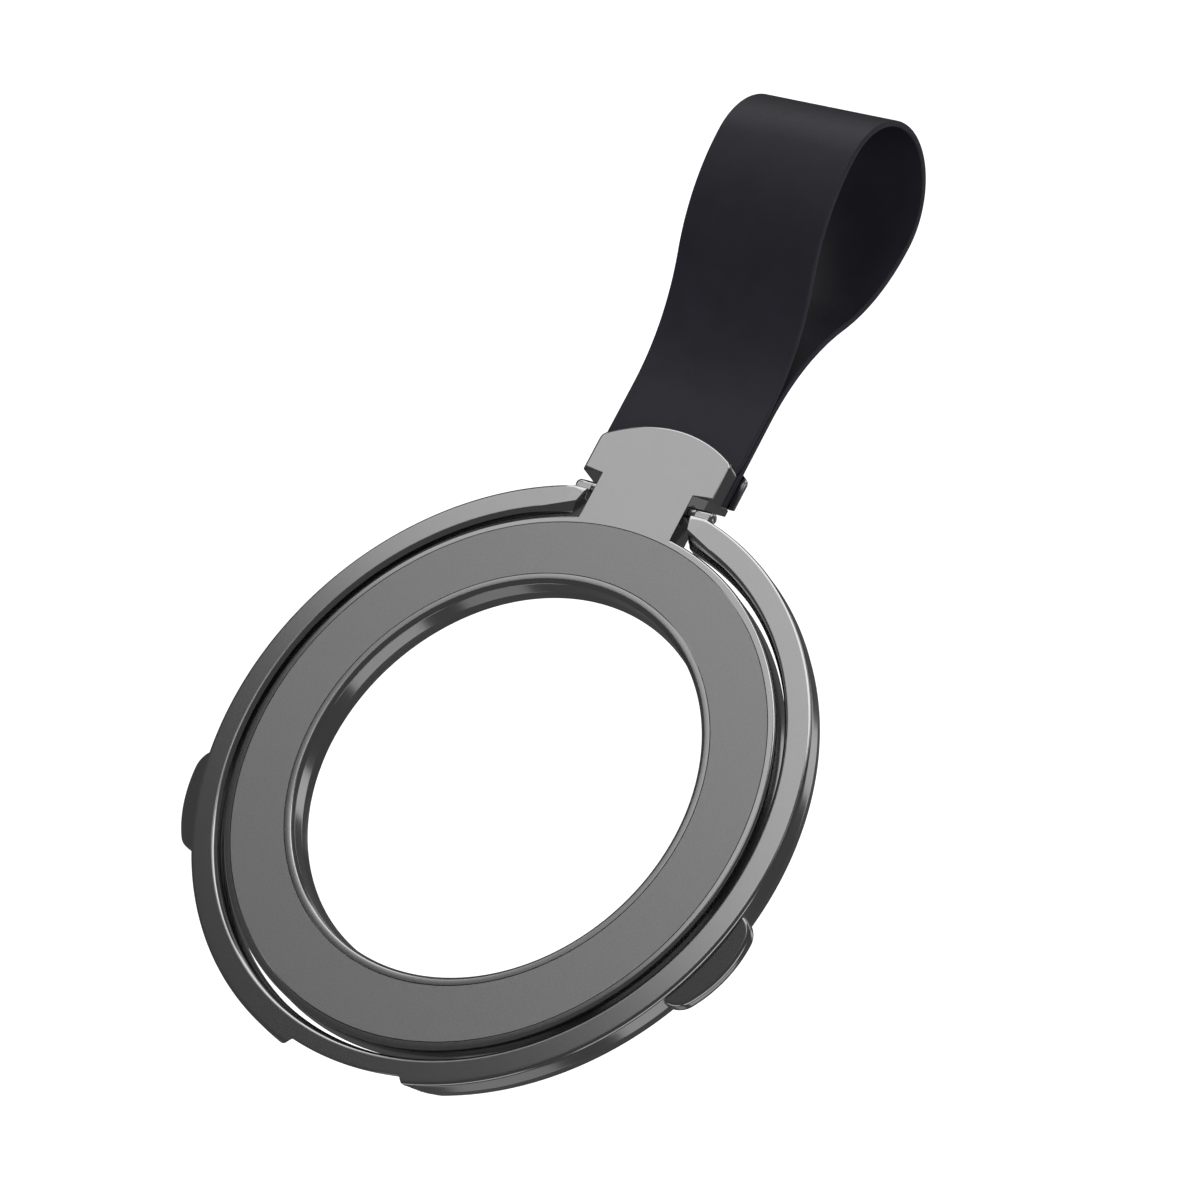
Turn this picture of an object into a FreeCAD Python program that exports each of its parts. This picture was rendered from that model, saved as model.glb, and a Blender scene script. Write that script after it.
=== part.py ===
"""Magnetic phone ring: a magnet plate with a folding stand ring and a finger strap.

The origin is at the centre of the face that clings to the phone. +Z points away from the phone,
+Y points along the neck towards the strap and X runs along the hinge of the stand ring.
"""
import FreeCAD
import Part
import math
import os
import re
import Sketcher

SIZES = {
    # Stack from the phone to the front face
    "pad_thickness": "0.5",
    "frame_thickness": "2.8",
    # Magnet plate
    "hole_radius": "21.2",
    "hole_chamfer": "0.35",
    "hole_lip": "0.23",
    "hole_lip_height": "0.9",
    "plate_width": "7.6",
    "frame_chamfer": "0.35",
    # Sanded face insert between two plain rims
    "inner_rim": "0.65",
    "outer_rim": "0.45",
    "insert_thickness": "0.4",
    "insert_gap": "0.04",
    # Magnets, shunt ring and phone pad
    "inner_wall": "1.8",
    "outer_wall": "1.3",
    "web_thickness": "0.6",
    "magnet_count": "18",
    "magnet_split": "0.6",
    "shunt_thickness": "0.4",
    "channel_gap": "0.1",
    "pad_inset": "0.3",
    # Neck and head
    "neck_width": "10.84",
    "head_width": "15.7",
    "head_length": "6.5",
    "head_crown": "14.3",
    "head_corner": "1.0",
    "head_edge": "0.2",
    "jaw_thickness": "1.0",
    "rib_width": "0.7",
    # Hinge
    "hinge_inset": "0.4",
    "hinge_depth": "1.15",
    "stop_gap": "0.2",
    "pin_radius": "0.35",
    "pin_head_radius": "0.55",
    "pin_head_height": "0.35",
    "pin_tip_radius": "0.3",
    "running_gap": "0.03",
    "knuckle_radius": "0.6",
    "knuckle_length": "1.75",
    "knuckle_root": "0.9",
    "bush_radius": "0.8",
    "bush_length": "3.0",
    "end_gap": "0.78",
    # Stand ring
    "stand_gap": "0.45",
    "stand_width": "3.1",
    "stand_thickness": "3.1",
    "inner_chamfer": "0.4",
    "lip_step": "0.3",
    "lip_depth": "1.0",
    "lower_chamfer": "0.55",
    "outer_bevel": "0.35",
    "outer_bevel_depth": "0.45",
    "outer_taper": "0.28",
    "band_depth": "1.85",
    "end_lean": "16",
    "end_bevel_angle": "23.9",
    "end_bevel_depth": "1.3",
    # Ears and finger scoop of the stand ring
    "ear_angle": "110",
    "ear_length": "10.8",
    "ear_reach": "2.05",
    "ear_corner": "2.2",
    "ear_curve": "12.5",
    "ear_depth": "0.6",
    "ear_slope": "0.45",
    "ear_thickness": "1.9",
    "ear_bevel": "0.25",
    "scoop_length": "13.4",
    "scoop_flare": "2.9",
    "scoop_top": "0.7",
    "scoop_bottom": "1.85",
    # Finger strap
    "strap_width": "16.0",
    "strap_thickness": "0.65",
    "strap_slit": "0.1",
    "strap_start": "10.7",
    "loop_centre": "36.6",
    "loop_radius": "8.2",
    "loop_flare": "25.0",
    # Clamp plate and its screw
    "clamp_width": "17.2",
    "clamp_thickness": "0.8",
    "clamp_rise": "0.4",
    "clamp_gap": "0.05",
    "clamp_corner": "0.7",
    "screw_setback": "3.3",
    "screw_radius": "0.5",
    "screw_clearance": "0.05",
    "screw_head_radius": "1.1",
    "screw_bite": "0.7",
    "screw_recess": "0.25",
    # How far a cutting outline runs past the solid that it cuts
    "cut_past": "1.0",
}

FRONT = "(pad_thickness + frame_thickness)"
FRAME_RADIUS = "(hole_radius + plate_width)"
INSERT_INNER = "(hole_radius + hole_chamfer + inner_rim)"
INSERT_OUTER = f"({FRAME_RADIUS} - frame_chamfer - outer_rim)"
INSERT_UNDER = f"({FRONT} - insert_thickness)"
MAGNET_INNER = "(hole_radius + inner_wall)"
MAGNET_OUTER = f"({FRAME_RADIUS} - outer_wall)"
CHANNEL_TOP = f"({INSERT_UNDER} - web_thickness)"
MAGNET_TOP = f"({CHANNEL_TOP} - shunt_thickness)"
STAND_INNER = f"({FRAME_RADIUS} + stand_gap)"
STAND_WALL = f"({STAND_INNER} + lip_step)"
STAND_OUTER = f"({STAND_INNER} + stand_width)"
STAND_UNDER = f"({FRONT} - stand_thickness)"
HINGE_REACH = f"({STAND_OUTER} - hinge_inset)"
HINGE_LEVEL = f"({FRONT} - hinge_depth)"
END_LINE = f"({HINGE_REACH} - pin_head_radius - running_gap)"
NECK_SIDE = "(neck_width / 2)"
NECK_ROOT = f"({INSERT_OUTER} + insert_gap + (outer_rim - insert_gap) / 2)"
KNUCKLE_START = f"({NECK_SIDE} + end_gap)"
HEAD_BASE = f"({HINGE_REACH} + hinge_depth + stop_gap)"
HEAD_APEX = f"({HEAD_BASE} + head_length)"
RIB_TOP = f"({HEAD_BASE} + rib_width)"
JAW_UNDER = f"({FRONT} - jaw_thickness)"
STRAP_HALF = "(strap_thickness + strap_slit / 2)"
STRAP_MIDDLE = f"({JAW_UNDER} - {STRAP_HALF})"
CLAMP_TOP = f"({STRAP_MIDDLE} - {STRAP_HALF})"
CLAMP_UNDER = f"({CLAMP_TOP} - clamp_thickness)"
SCREW_LINE = f"({HEAD_APEX} - screw_setback)"
SCREW_PASS = "(screw_radius + screw_clearance)"
NEAR = 1e-6

doc = FreeCAD.newDocument("magnetic_phone_ring")
sheet = doc.addObject("Spreadsheet::Sheet", "sizes")
for row, (alias, number) in enumerate(SIZES.items(), start=1):
    sheet.set(f"A{row}", alias)
    sheet.set(f"B{row}", number)
    sheet.setAlias(f"B{row}", alias)
doc.recompute()


def linked(text):
    """Expression in which each size's name points at its cell of the sheet."""
    return re.sub(r"[a-z_]+", lambda word: "sizes." * (word.group() in SIZES) + word.group(), text)


def value(text):
    """Number that an expression of the sizes gives."""
    return float(sheet.evalExpression(linked(text)))


def near(one, other):
    """Whether two lengths are the same."""
    return abs(one - other) < NEAR


def polar(radius, angle):
    """Point at a radius and an angle that is counted clockwise from +Y."""
    return f"({radius}) * sin({angle})", f"({radius}) * cos({angle})"


def new_body(label):
    """Empty body that becomes one sub-part."""
    body = doc.addObject("PartDesign::Body", label)
    body.Label = label
    return body


def plane_of(body, role):
    """Origin plane of a body."""
    return next(plane for plane in body.Origin.OriginFeatures if plane.Role == role)


def new_sketch(body, name, role, offset="0"):
    """Empty sketch on one of the body's origin planes, moved along the plane's normal."""
    sketch = body.newObject("Sketcher::SketchObject", f"{body.Label}_{name}")
    sketch.AttachmentSupport = (plane_of(body, role), "")
    sketch.MapMode = "FlatFace"
    if offset != "0":
        sketch.setExpression("AttachmentOffset.Base.z", linked(offset))
    return sketch


def hold(sketch, kind, text, *where):
    """Dimension of a sketch that follows an expression of the sizes."""
    index = sketch.addConstraint(Sketcher.Constraint(kind, *where, value(text)))
    sketch.setExpression(f"Constraints[{index}]", linked(text))


def pin_point(sketch, edge, end, corner):
    """Fix one end or centre of an edge at a corner's two coordinates."""
    axis_of = {"DistanceX": -2, "DistanceY": -1}
    for kind, text in zip(axis_of, corner):
        if text == "0":
            sketch.addConstraint(Sketcher.Constraint("PointOnObject", edge, end, axis_of[kind]))
        else:
            hold(sketch, kind, text, -1, 1, edge, end)


def arc_between(start, end, radius):
    """Short arc from start to end, counter-clockwise for a positive radius."""
    chord = end - start
    side = FreeCAD.Vector(-chord.y, chord.x, 0).normalize()
    sagitta = abs(radius) - max(radius ** 2 - (chord.Length / 2) ** 2, 0) ** 0.5
    bulge = (start + end) / 2 - side * sagitta * (1 if radius > 0 else -1)
    return Part.Arc(start, bulge, end)


def outline(body, name, role, corners, offset="0"):
    """Closed sketch through its corners; a third entry makes the edge that follows an arc."""
    sketch = new_sketch(body, name, role, offset)
    points = [FreeCAD.Vector(value(corner[0]), value(corner[1]), 0) for corner in corners]
    ends = []
    for index, corner in enumerate(corners):
        start, end = points[index], points[(index + 1) % len(points)]
        if len(corner) == 2:
            sketch.addGeometry(Part.LineSegment(start, end))
            ends.append((1, 2))
            continue
        radius = value(corner[2])
        sketch.addGeometry(arc_between(start, end, radius))
        ends.append((1, 2) if radius > 0 else (2, 1))
    for index, corner in enumerate(corners):
        after = (index + 1) % len(corners)
        sketch.addConstraint(
            Sketcher.Constraint("Coincident", index, ends[index][1], after, ends[after][0]))
        pin_point(sketch, index, ends[index][0], corner)
        if len(corner) == 3:
            hold(sketch, "Radius", corner[2].lstrip("-"), index)
    return sketch


def circles(body, name, role, rounds, offset="0"):
    """Sketch of full circles, each given as centre x, centre y and radius."""
    sketch = new_sketch(body, name, role, offset)
    for index, (across, along, radius) in enumerate(rounds):
        centre = FreeCAD.Vector(value(across), value(along), 0)
        sketch.addGeometry(Part.Circle(centre, FreeCAD.Vector(0, 0, 1), value(radius)))
        pin_point(sketch, index, 3, (across, along))
        hold(sketch, "Radius", radius, index)
    return sketch


def feature(body, kind, name, **settings):
    """Feature of a body; text settings are expressions of the sizes."""
    made = body.newObject(f"PartDesign::{kind}", f"{body.Label}_{name}")
    for setting, wanted in settings.items():
        if isinstance(wanted, str) and setting != "Type":
            made.setExpression(setting, linked(wanted))
        else:
            setattr(made, setting, wanted)
    return made


def cut(body, kind, name, **settings):
    """Feature that has to take material away."""
    doc.recompute()
    before = body.Shape.Volume
    made = feature(body, kind, name, **settings)
    doc.recompute()
    if body.Shape.Volume >= before:
        raise RuntimeError(f"{made.Name} removes nothing")
    return made


def bore(body, name, role, rounds):
    """Round holes right through a body."""
    sketch = circles(body, name, role, rounds)
    return cut(body, "Pocket", f"{name}_cut", Profile=sketch, Type="ThroughAll", Midplane=True)


def turned(body, name, corners):
    """Solid of revolution about Z from a half section in X and Z."""
    sketch = outline(body, name, "XZ_Plane", corners)
    return feature(body, "Revolution", f"{name}_turn", Profile=sketch,
                   ReferenceAxis=(sketch, ["V_Axis"]), Angle=360.0)


def mirror(body, name, originals):
    """Repeat features of a body on the other side of the YZ plane."""
    doc.recompute()
    body.Tip = feature(body, "Mirrored", name, Originals=originals,
                       MirrorPlane=(plane_of(body, "YZ_Plane"), [""]))


def edges_where(body, test):
    """Names of the body's edges whose points meet a test."""
    doc.recompute()
    edges = enumerate(body.Shape.Edges, start=1)
    return [f"Edge{index}" for index, edge in edges if test(edge.discretize(5))]


def bevel_edges(body, name, chosen, size):
    """Chamfer on chosen edges of a body."""
    made = feature(body, "Chamfer", name, Size=size)
    made.Base = (made.BaseFeature or body.Tip, chosen)
    doc.recompute()


def crowned(body, name, base, width, apex, corner, offset):
    """Outline of the head: straight sides and a crowned top with rounded corners."""
    centre = f"({apex} - head_crown)"
    inset = f"({width} / 2 - {corner})"
    rise = f"sqrt((head_crown - {corner})^2 - {inset}^2)"
    spread = f"head_crown / (head_crown - {corner})"
    shoulder = f"{centre} + {rise}"
    crown_x = f"{inset} * {spread}"
    crown_y = f"{centre} + {rise} * {spread}"
    return outline(body, name, "XY_Plane", [
        (f"-{width} / 2", base),
        (f"{width} / 2", base),
        (f"{width} / 2", shoulder, corner),
        (crown_x, crown_y, "head_crown"),
        (f"-{crown_x}", crown_y, corner),
        (f"-{width} / 2", shoulder),
    ], offset)


def make_front_frame():
    """Die-cast magnet plate with its neck, the front jaw of the head and the head's rib."""
    body = new_body("front_frame")
    turned(body, "plate", [
        ("hole_radius + hole_chamfer", FRONT),
        ("hole_radius", f"{FRONT} - hole_chamfer"),
        ("hole_radius", "pad_thickness + hole_lip_height"),
        ("hole_radius - hole_lip", "pad_thickness"),
        (f"{MAGNET_INNER} - channel_gap", "pad_thickness"),
        (f"{MAGNET_INNER} - channel_gap", CHANNEL_TOP),
        (f"{MAGNET_OUTER} + channel_gap", CHANNEL_TOP),
        (f"{MAGNET_OUTER} + channel_gap", "pad_thickness"),
        (FRAME_RADIUS, "pad_thickness"),
        (FRAME_RADIUS, f"{FRONT} - frame_chamfer"),
        (f"{FRAME_RADIUS} - frame_chamfer", FRONT),
        (f"{INSERT_OUTER} + insert_gap", FRONT),
        (f"{INSERT_OUTER} + insert_gap", INSERT_UNDER),
        (f"{INSERT_INNER} - insert_gap", INSERT_UNDER),
        (f"{INSERT_INNER} - insert_gap", FRONT),
    ])
    root_line = f"sqrt({NECK_ROOT}^2 - {NECK_SIDE}^2)"
    neck = outline(body, "neck", "XY_Plane", [
        (f"-{NECK_SIDE}", root_line, f"-{NECK_ROOT}"),
        (NECK_SIDE, root_line),
        (NECK_SIDE, f"{HEAD_BASE} + rib_width / 2"),
        (f"-{NECK_SIDE}", f"{HEAD_BASE} + rib_width / 2"),
    ], "pad_thickness")
    feature(body, "Pad", "neck_pad", Profile=neck, Length="frame_thickness")
    jaw = crowned(body, "jaw", HEAD_BASE, "head_width", HEAD_APEX, "head_corner", JAW_UNDER)
    feature(body, "Pad", "jaw_pad", Profile=jaw, Length="jaw_thickness")
    rib = outline(body, "rib", "XY_Plane", [
        ("-head_width / 2", HEAD_BASE),
        ("head_width / 2", HEAD_BASE),
        ("head_width / 2", RIB_TOP),
        ("-head_width / 2", RIB_TOP),
    ], CLAMP_UNDER)
    feature(body, "Pad", "rib_pad", Profile=rib, Length=f"{FRONT} - {CLAMP_UNDER}")
    bore(body, "hinge_bore", "YZ_Plane", [(HINGE_REACH, HINGE_LEVEL, "bush_radius")])
    hole = circles(body, "screw_hole", "XY_Plane", [("0", SCREW_LINE, "screw_radius")], JAW_UNDER)
    cut(body, "Pocket", "screw_hole_cut", Profile=hole, Length="screw_bite", Reversed=True)
    front, base, side = value(FRONT), value(HEAD_BASE), value("head_width") / 2

    def on_head_rim(points):
        """Whether an edge is part of the head's front rim or an outer corner of its rib."""
        rim = all(near(point.z, front) and point.y > base - NEAR for point in points)
        corner = all(near(abs(point.x), side) and near(point.y, base) for point in points)
        return rim or corner

    bevel_edges(body, "head_bevel", edges_where(body, on_head_rim), "head_edge")
    return body


def make_face_insert():
    """Sand-blasted annular plate let into the front face."""
    body = new_body("face_insert")
    turned(body, "plate", [
        (INSERT_INNER, INSERT_UNDER),
        (INSERT_OUTER, INSERT_UNDER),
        (INSERT_OUTER, FRONT),
        (INSERT_INNER, FRONT),
    ])
    return body


def make_shunt_ring():
    """Steel ring that closes the magnets' field towards the front."""
    body = new_body("shunt_ring")
    ring = circles(body, "ring", "XY_Plane",
                   [("0", "0", MAGNET_OUTER), ("0", "0", MAGNET_INNER)], MAGNET_TOP)
    feature(body, "Pad", "ring_pad", Profile=ring, Length="shunt_thickness")
    return body


def make_magnet_segments():
    """Ring of wedge-shaped magnets."""
    body = new_body("magnet_segments")
    half = "(180 / magnet_count - magnet_split / 2)"
    segment = outline(body, "segment", "XY_Plane", [
        polar(MAGNET_OUTER, f"-{half}"),
        polar(MAGNET_OUTER, half),
        polar(f"{MAGNET_INNER} / cos({half})", half),
        polar(f"{MAGNET_INNER} / cos({half})", f"-{half}"),
    ], "pad_thickness")
    first = feature(body, "Pad", "segment_pad", Profile=segment,
                    Length=f"{MAGNET_TOP} - pad_thickness")
    doc.recompute()
    ring = feature(body, "PolarPattern", "ring", Originals=[first], Axis=(segment, ["N_Axis"]),
                   Angle=360.0, Occurrences="magnet_count")
    body.Tip = ring
    return body


def make_phone_pad():
    """Soft ring that covers the magnets and lies on the phone."""
    body = new_body("phone_pad")
    outer = f"{FRAME_RADIUS} - pad_inset"
    inner = "hole_radius - hole_lip + pad_inset"
    turned(body, "pad", [
        (inner, "0"),
        (outer, "0"),
        (outer, "pad_thickness"),
        (inner, "pad_thickness"),
    ])
    return body


def make_stand_ring():
    """Open stand ring with its hinge knuckles, two finger ears and a nail scoop."""
    body = new_body("stand_ring")
    turned(body, "ring", [
        (f"{STAND_WALL} + inner_chamfer", FRONT),
        (STAND_WALL, f"{FRONT} - inner_chamfer"),
        (STAND_WALL, f"{FRONT} - lip_depth"),
        (STAND_INNER, f"{FRONT} - lip_depth - lip_step"),
        (STAND_INNER, f"{STAND_UNDER} + lower_chamfer"),
        (f"{STAND_INNER} + lower_chamfer", STAND_UNDER),
        (f"{STAND_OUTER} - outer_taper", STAND_UNDER),
        (STAND_OUTER, f"{FRONT} - band_depth"),
        (STAND_OUTER, f"{FRONT} - outer_bevel_depth"),
        (f"{STAND_OUTER} - outer_bevel", FRONT),
    ])
    add_ears(body)
    add_scoop(body)
    add_mouth(body)
    flat = outline(body, "flat", "XY_Plane", [
        ("0", END_LINE),
        (f"{STAND_OUTER} / 2", END_LINE),
        (f"{STAND_OUTER} / 2", f"{STAND_OUTER} + cut_past"),
        ("0", f"{STAND_OUTER} + cut_past"),
    ])
    flat_cut = cut(body, "Pocket", "flat_cut", Profile=flat, Type="ThroughAll", Midplane=True)
    bevel_cut = add_end_bevel(body)
    knuckle_pad = add_knuckle(body)
    mirror(body, "both_ends", [flat_cut, bevel_cut, knuckle_pad])
    bore(body, "pin_bore", "YZ_Plane", [(HINGE_REACH, HINGE_LEVEL, "pin_radius")])
    return body


def add_mouth(body):
    """Gap of the stand ring for the neck, with ends that lean out towards the plate."""
    low, high = f"({STAND_INNER} / 2)", f"({STAND_OUTER} + cut_past)"
    wide = f"({KNUCKLE_START} + ({END_LINE} - {low}) * tan(end_lean))"
    narrow = f"({KNUCKLE_START} - ({high} - {END_LINE}) * tan(end_lean))"
    mouth = outline(body, "mouth", "XY_Plane", [
        (f"-{wide}", low), (wide, low), (narrow, high), (f"-{narrow}", high)])
    cut(body, "Pocket", "mouth_cut", Profile=mouth, Type="ThroughAll", Midplane=True)


def add_end_bevel(body):
    """Straight bevel that widens the inner chamfer towards one end of the ring."""
    edge = f"({STAND_WALL} + inner_chamfer)"
    run = f"({edge} * sin(end_bevel_angle))"
    depth = f"({STAND_INNER} / 4)"
    sine, cosine = "sin(end_bevel_angle)", "cos(end_bevel_angle)"
    touch = polar(edge, "end_bevel_angle")
    tip = (f"{touch[0]} - {run} * {cosine}", f"{touch[1]} + {run} * {sine}")
    bevel = outline(body, "end_bevel", "XY_Plane", [
        touch,
        tip,
        (f"{tip[0]} - {depth} * {sine}", f"{tip[1]} - {depth} * {cosine}"),
        (f"{touch[0]} - {depth} * {sine}", f"{touch[1]} - {depth} * {cosine}"),
    ], FRONT)
    return cut(body, "Pocket", "end_bevel_cut", Profile=bevel, Length="end_bevel_depth",
               TaperAngle=-45.0)


def add_knuckle(body):
    """Round hinge knuckle that grows out of one end of the ring."""
    root = f"{END_LINE} - knuckle_root"
    low, high = f"{HINGE_LEVEL} - knuckle_radius", f"{HINGE_LEVEL} + knuckle_radius"
    knuckle = outline(body, "knuckle", "YZ_Plane", [
        (root, low),
        (HINGE_REACH, low, "knuckle_radius"),
        (f"{HINGE_REACH} + knuckle_radius", HINGE_LEVEL, "knuckle_radius"),
        (HINGE_REACH, high),
        (root, high),
    ], KNUCKLE_START)
    return feature(body, "Pad", "knuckle_pad", Profile=knuckle, Length="knuckle_length")


def add_ears(body):
    """Finger ears on both sides: curved outlines with round corners, sloped tops, bevelled rims."""
    tip = f"({STAND_OUTER} + ear_reach)"
    root = f"({STAND_OUTER} - stand_width / 2)"
    half, inset = "(ear_length / 2)", "(ear_length / 2 - ear_corner)"
    rise = f"sqrt((ear_curve - ear_corner)^2 - {inset}^2)"
    spread = "(ear_curve / (ear_curve - ear_corner))"
    shoulder = f"({tip} - ear_curve + {rise})"
    crown = f"({tip} - ear_curve + {rise} * {spread})"

    def beside(sign, run, reach):
        """Point of an ear by its run along the ring and its reach from the ring's centre."""
        across, along = polar(reach, "ear_angle")
        back = "-" if sign == "+" else "+"
        return f"{across} {sign} {run} * cos(ear_angle)", f"{along} {back} {run} * sin(ear_angle)"

    ear = outline(body, "ear", "XY_Plane", [
        beside("-", half, root),
        beside("+", half, root),
        (*beside("+", half, shoulder), "ear_corner"),
        (*beside("+", f"{inset} * {spread}", crown), "ear_curve"),
        (*beside("-", f"{inset} * {spread}", crown), "ear_corner"),
        beside("-", half, shoulder),
    ], f"{FRONT} - ear_depth - ear_thickness")
    mirror(body, "both_ears", [feature(body, "Pad", "ear_pad", Profile=ear, Length="ear_thickness")])
    top, far = f"({FRONT} - ear_depth)", f"({tip} + cut_past)"
    fall = "(ear_slope * (ear_reach + cut_past) / ear_reach)"
    slope = outline(body, "ear_slope", "XZ_Plane", [
        (STAND_OUTER, top), (far, f"{top} - {fall}"), (far, top)])
    cut(body, "Groove", "ear_slope_cut", Profile=slope, ReferenceAxis=(slope, ["V_Axis"]),
        Angle=360.0)
    outside, level = value(STAND_OUTER) + value("ear_reach") / 4, value(f"{FRONT} - band_depth")

    def on_upper_rim(points):
        """Whether an edge runs along the upper rim of an ear."""
        return math.hypot(points[2].x, points[2].y) > outside and min(point.z for point in points) > level

    bevel_edges(body, "ear_bevel", edges_where(body, on_upper_rim), "ear_bevel")


def add_scoop(body):
    """Nail scoop opposite the neck, deeper and wider towards the phone."""
    def section(name, spread, depth, level):
        """One level of the scoop: its floor arc, two ends and an arc outside the ring."""
        half = f"(180 / pi * ({spread}) / {STAND_OUTER})"
        floor, outside = f"({STAND_OUTER} - {depth})", f"({STAND_OUTER} + cut_past)"
        return outline(body, name, "XY_Plane", [
            (*polar(floor, f"(180 - {half})"), f"-{floor}"),
            polar(floor, f"(180 + {half})"),
            (*polar(outside, f"(180 + {half})"), outside),
            polar(outside, f"(180 - {half})"),
        ], level)
    upper = section("scoop_upper", "scoop_length / 2", "scoop_top", FRONT)
    lower = section("scoop_lower", "scoop_length / 2 + scoop_flare", "scoop_bottom", STAND_UNDER)
    cut(body, "SubtractiveLoft", "scoop_cut", Profile=upper, Sections=[lower], Ruled=True)


def make_hinge_pin():
    """Steel pin through both knuckles and the neck, with peened ends."""
    body = new_body("hinge_pin")
    shoulder = f"({KNUCKLE_START} + knuckle_length)"
    tip = f"({shoulder} + pin_head_height)"
    pin = outline(body, "pin", "XY_Plane", [
        (f"-{tip}", "0"),
        (tip, "0"),
        (tip, "pin_tip_radius"),
        (shoulder, "pin_head_radius"),
        (shoulder, "pin_radius"),
        (f"-{shoulder}", "pin_radius"),
        (f"-{shoulder}", "pin_head_radius"),
        (f"-{tip}", "pin_tip_radius"),
    ])
    feature(body, "Revolution", "pin_turn", Profile=pin, ReferenceAxis=(pin, ["H_Axis"]),
            Angle=360.0)
    body.setExpression("Placement.Base.y", linked(HINGE_REACH))
    body.setExpression("Placement.Base.z", linked(HINGE_LEVEL))
    return body


def make_sleeve(label, outer, start, length):
    """Tube around the hinge pin, from a start along X."""
    body = new_body(label)
    sleeve = circles(body, "sleeve", "YZ_Plane", [
        (HINGE_REACH, HINGE_LEVEL, outer),
        (HINGE_REACH, HINGE_LEVEL, "pin_radius + running_gap"),
    ], start)
    feature(body, "Pad", "sleeve_pad", Profile=sleeve, Length=length)
    return body


def make_hinge_sleeves():
    """Friction bushes inside the neck and friction washers on its two sides."""
    thickness = "(end_gap - running_gap)"
    return [
        make_sleeve("friction_bush_left", "bush_radius", f"-{NECK_SIDE}", "bush_length"),
        make_sleeve("friction_bush_right", "bush_radius", f"{NECK_SIDE} - bush_length",
                    "bush_length"),
        make_sleeve("friction_washer_left", "knuckle_radius", f"-{NECK_SIDE} - {thickness}",
                    thickness),
        make_sleeve("friction_washer_right", "knuckle_radius", NECK_SIDE, thickness),
    ]


def make_strap():
    """Silicone finger strap: two layers in the head that part into a teardrop loop."""
    body = new_body("strap")
    start, centre = f"({HEAD_BASE} + strap_start)", f"({HEAD_BASE} + loop_centre)"
    run, rise = "(loop_centre - strap_start)", f"(loop_radius - {STRAP_HALF})"
    bends = f"(({run}^2 + {rise}^2) / (2 * {rise}))"
    turn_y = f"({start} + loop_flare * {run} / {bends})"
    turn_z = f"({STRAP_HALF} + loop_flare * {rise} / {bends})"
    sine, cosine = f"({run} / {bends})", f"(1 - {rise} / {bends})"
    inner_y = f"({turn_y} + strap_thickness * {sine})"
    inner_z = f"({turn_z} - strap_thickness * {cosine})"
    swell = f"({bends} - loop_flare)"
    slit, inner = "(strap_slit / 2)", "(loop_radius - strap_thickness)"

    def at(along, across, *radius):
        """Corner of the strap's side view, across from its middle."""
        return (along, f"{STRAP_MIDDLE} + {across}", *radius)

    profile = outline(body, "profile", "YZ_Plane", [
        at(RIB_TOP, f"-1 * {STRAP_HALF}"),
        at(start, f"-1 * {STRAP_HALF}", "-loop_flare"),
        at(turn_y, f"-1 * {turn_z}", swell),
        at(centre, "-1 * loop_radius", "loop_radius"),
        at(f"{centre} + loop_radius", "0", "loop_radius"),
        at(centre, "loop_radius", swell),
        at(turn_y, turn_z, "-loop_flare"),
        at(start, STRAP_HALF),
        at(RIB_TOP, STRAP_HALF),
        at(RIB_TOP, slit),
        at(start, slit, "loop_flare + strap_thickness"),
        at(inner_y, inner_z, f"-({swell} - strap_thickness)"),
        at(centre, inner, f"-{inner}"),
        at(f"{centre} + {inner}", "0", f"-{inner}"),
        at(centre, f"-1 * {inner}", f"-({swell} - strap_thickness)"),
        at(inner_y, f"-1 * {inner_z}", "loop_flare + strap_thickness"),
        at(start, f"-1 * {slit}"),
        at(RIB_TOP, f"-1 * {slit}"),
    ])
    feature(body, "Pad", "profile_pad", Profile=profile, Length="strap_width", Midplane=True)
    bore(body, "screw_hole", "XY_Plane", [("0", SCREW_LINE, SCREW_PASS)])
    return body


def make_clamp_plate():
    """Back plate that clamps the strap against the front jaw."""
    body = new_body("clamp_plate")
    plate = crowned(body, "plate", f"({RIB_TOP} + clamp_gap)", "clamp_width",
                    f"({HEAD_APEX} + clamp_rise)", "clamp_corner", CLAMP_UNDER)
    feature(body, "Pad", "plate_pad", Profile=plate, Length="clamp_thickness")
    bore(body, "screw_hole", "XY_Plane", [("0", SCREW_LINE, SCREW_PASS)])
    under, line, radius = value(CLAMP_UNDER), value(SCREW_LINE), value(SCREW_PASS)

    def on_hole_mouth(points):
        """Whether an edge is the mouth of the screw hole in the plate's back."""
        return all(near(point.z, under) and near(math.hypot(point.x, point.y - line), radius)
                   for point in points)

    bevel_edges(body, "countersink", edges_where(body, on_hole_mouth),
                "screw_head_radius - screw_radius")
    return body


def make_clamp_screw():
    """Countersunk screw from the back, through plate and strap into the front jaw."""
    body = new_body("clamp_screw")
    head = "(screw_head_radius - screw_radius)"
    turned(body, "screw", [
        ("0", "screw_recess"),
        ("screw_radius", "screw_recess"),
        ("screw_radius", "0"),
        ("screw_head_radius", "0"),
        ("screw_radius", head),
        ("screw_radius", f"{JAW_UNDER} - {CLAMP_UNDER} + screw_bite"),
        ("0", f"{JAW_UNDER} - {CLAMP_UNDER} + screw_bite"),
    ])
    body.setExpression("Placement.Base.y", linked(SCREW_LINE))
    body.setExpression("Placement.Base.z", linked(CLAMP_UNDER))
    return body


sub_parts = [
    make_front_frame(),
    make_face_insert(),
    make_shunt_ring(),
    make_magnet_segments(),
    make_phone_pad(),
    make_stand_ring(),
    make_hinge_pin(),
    *make_hinge_sleeves(),
    make_strap(),
    make_clamp_plate(),
    make_clamp_screw(),
]
doc.recompute()

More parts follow.
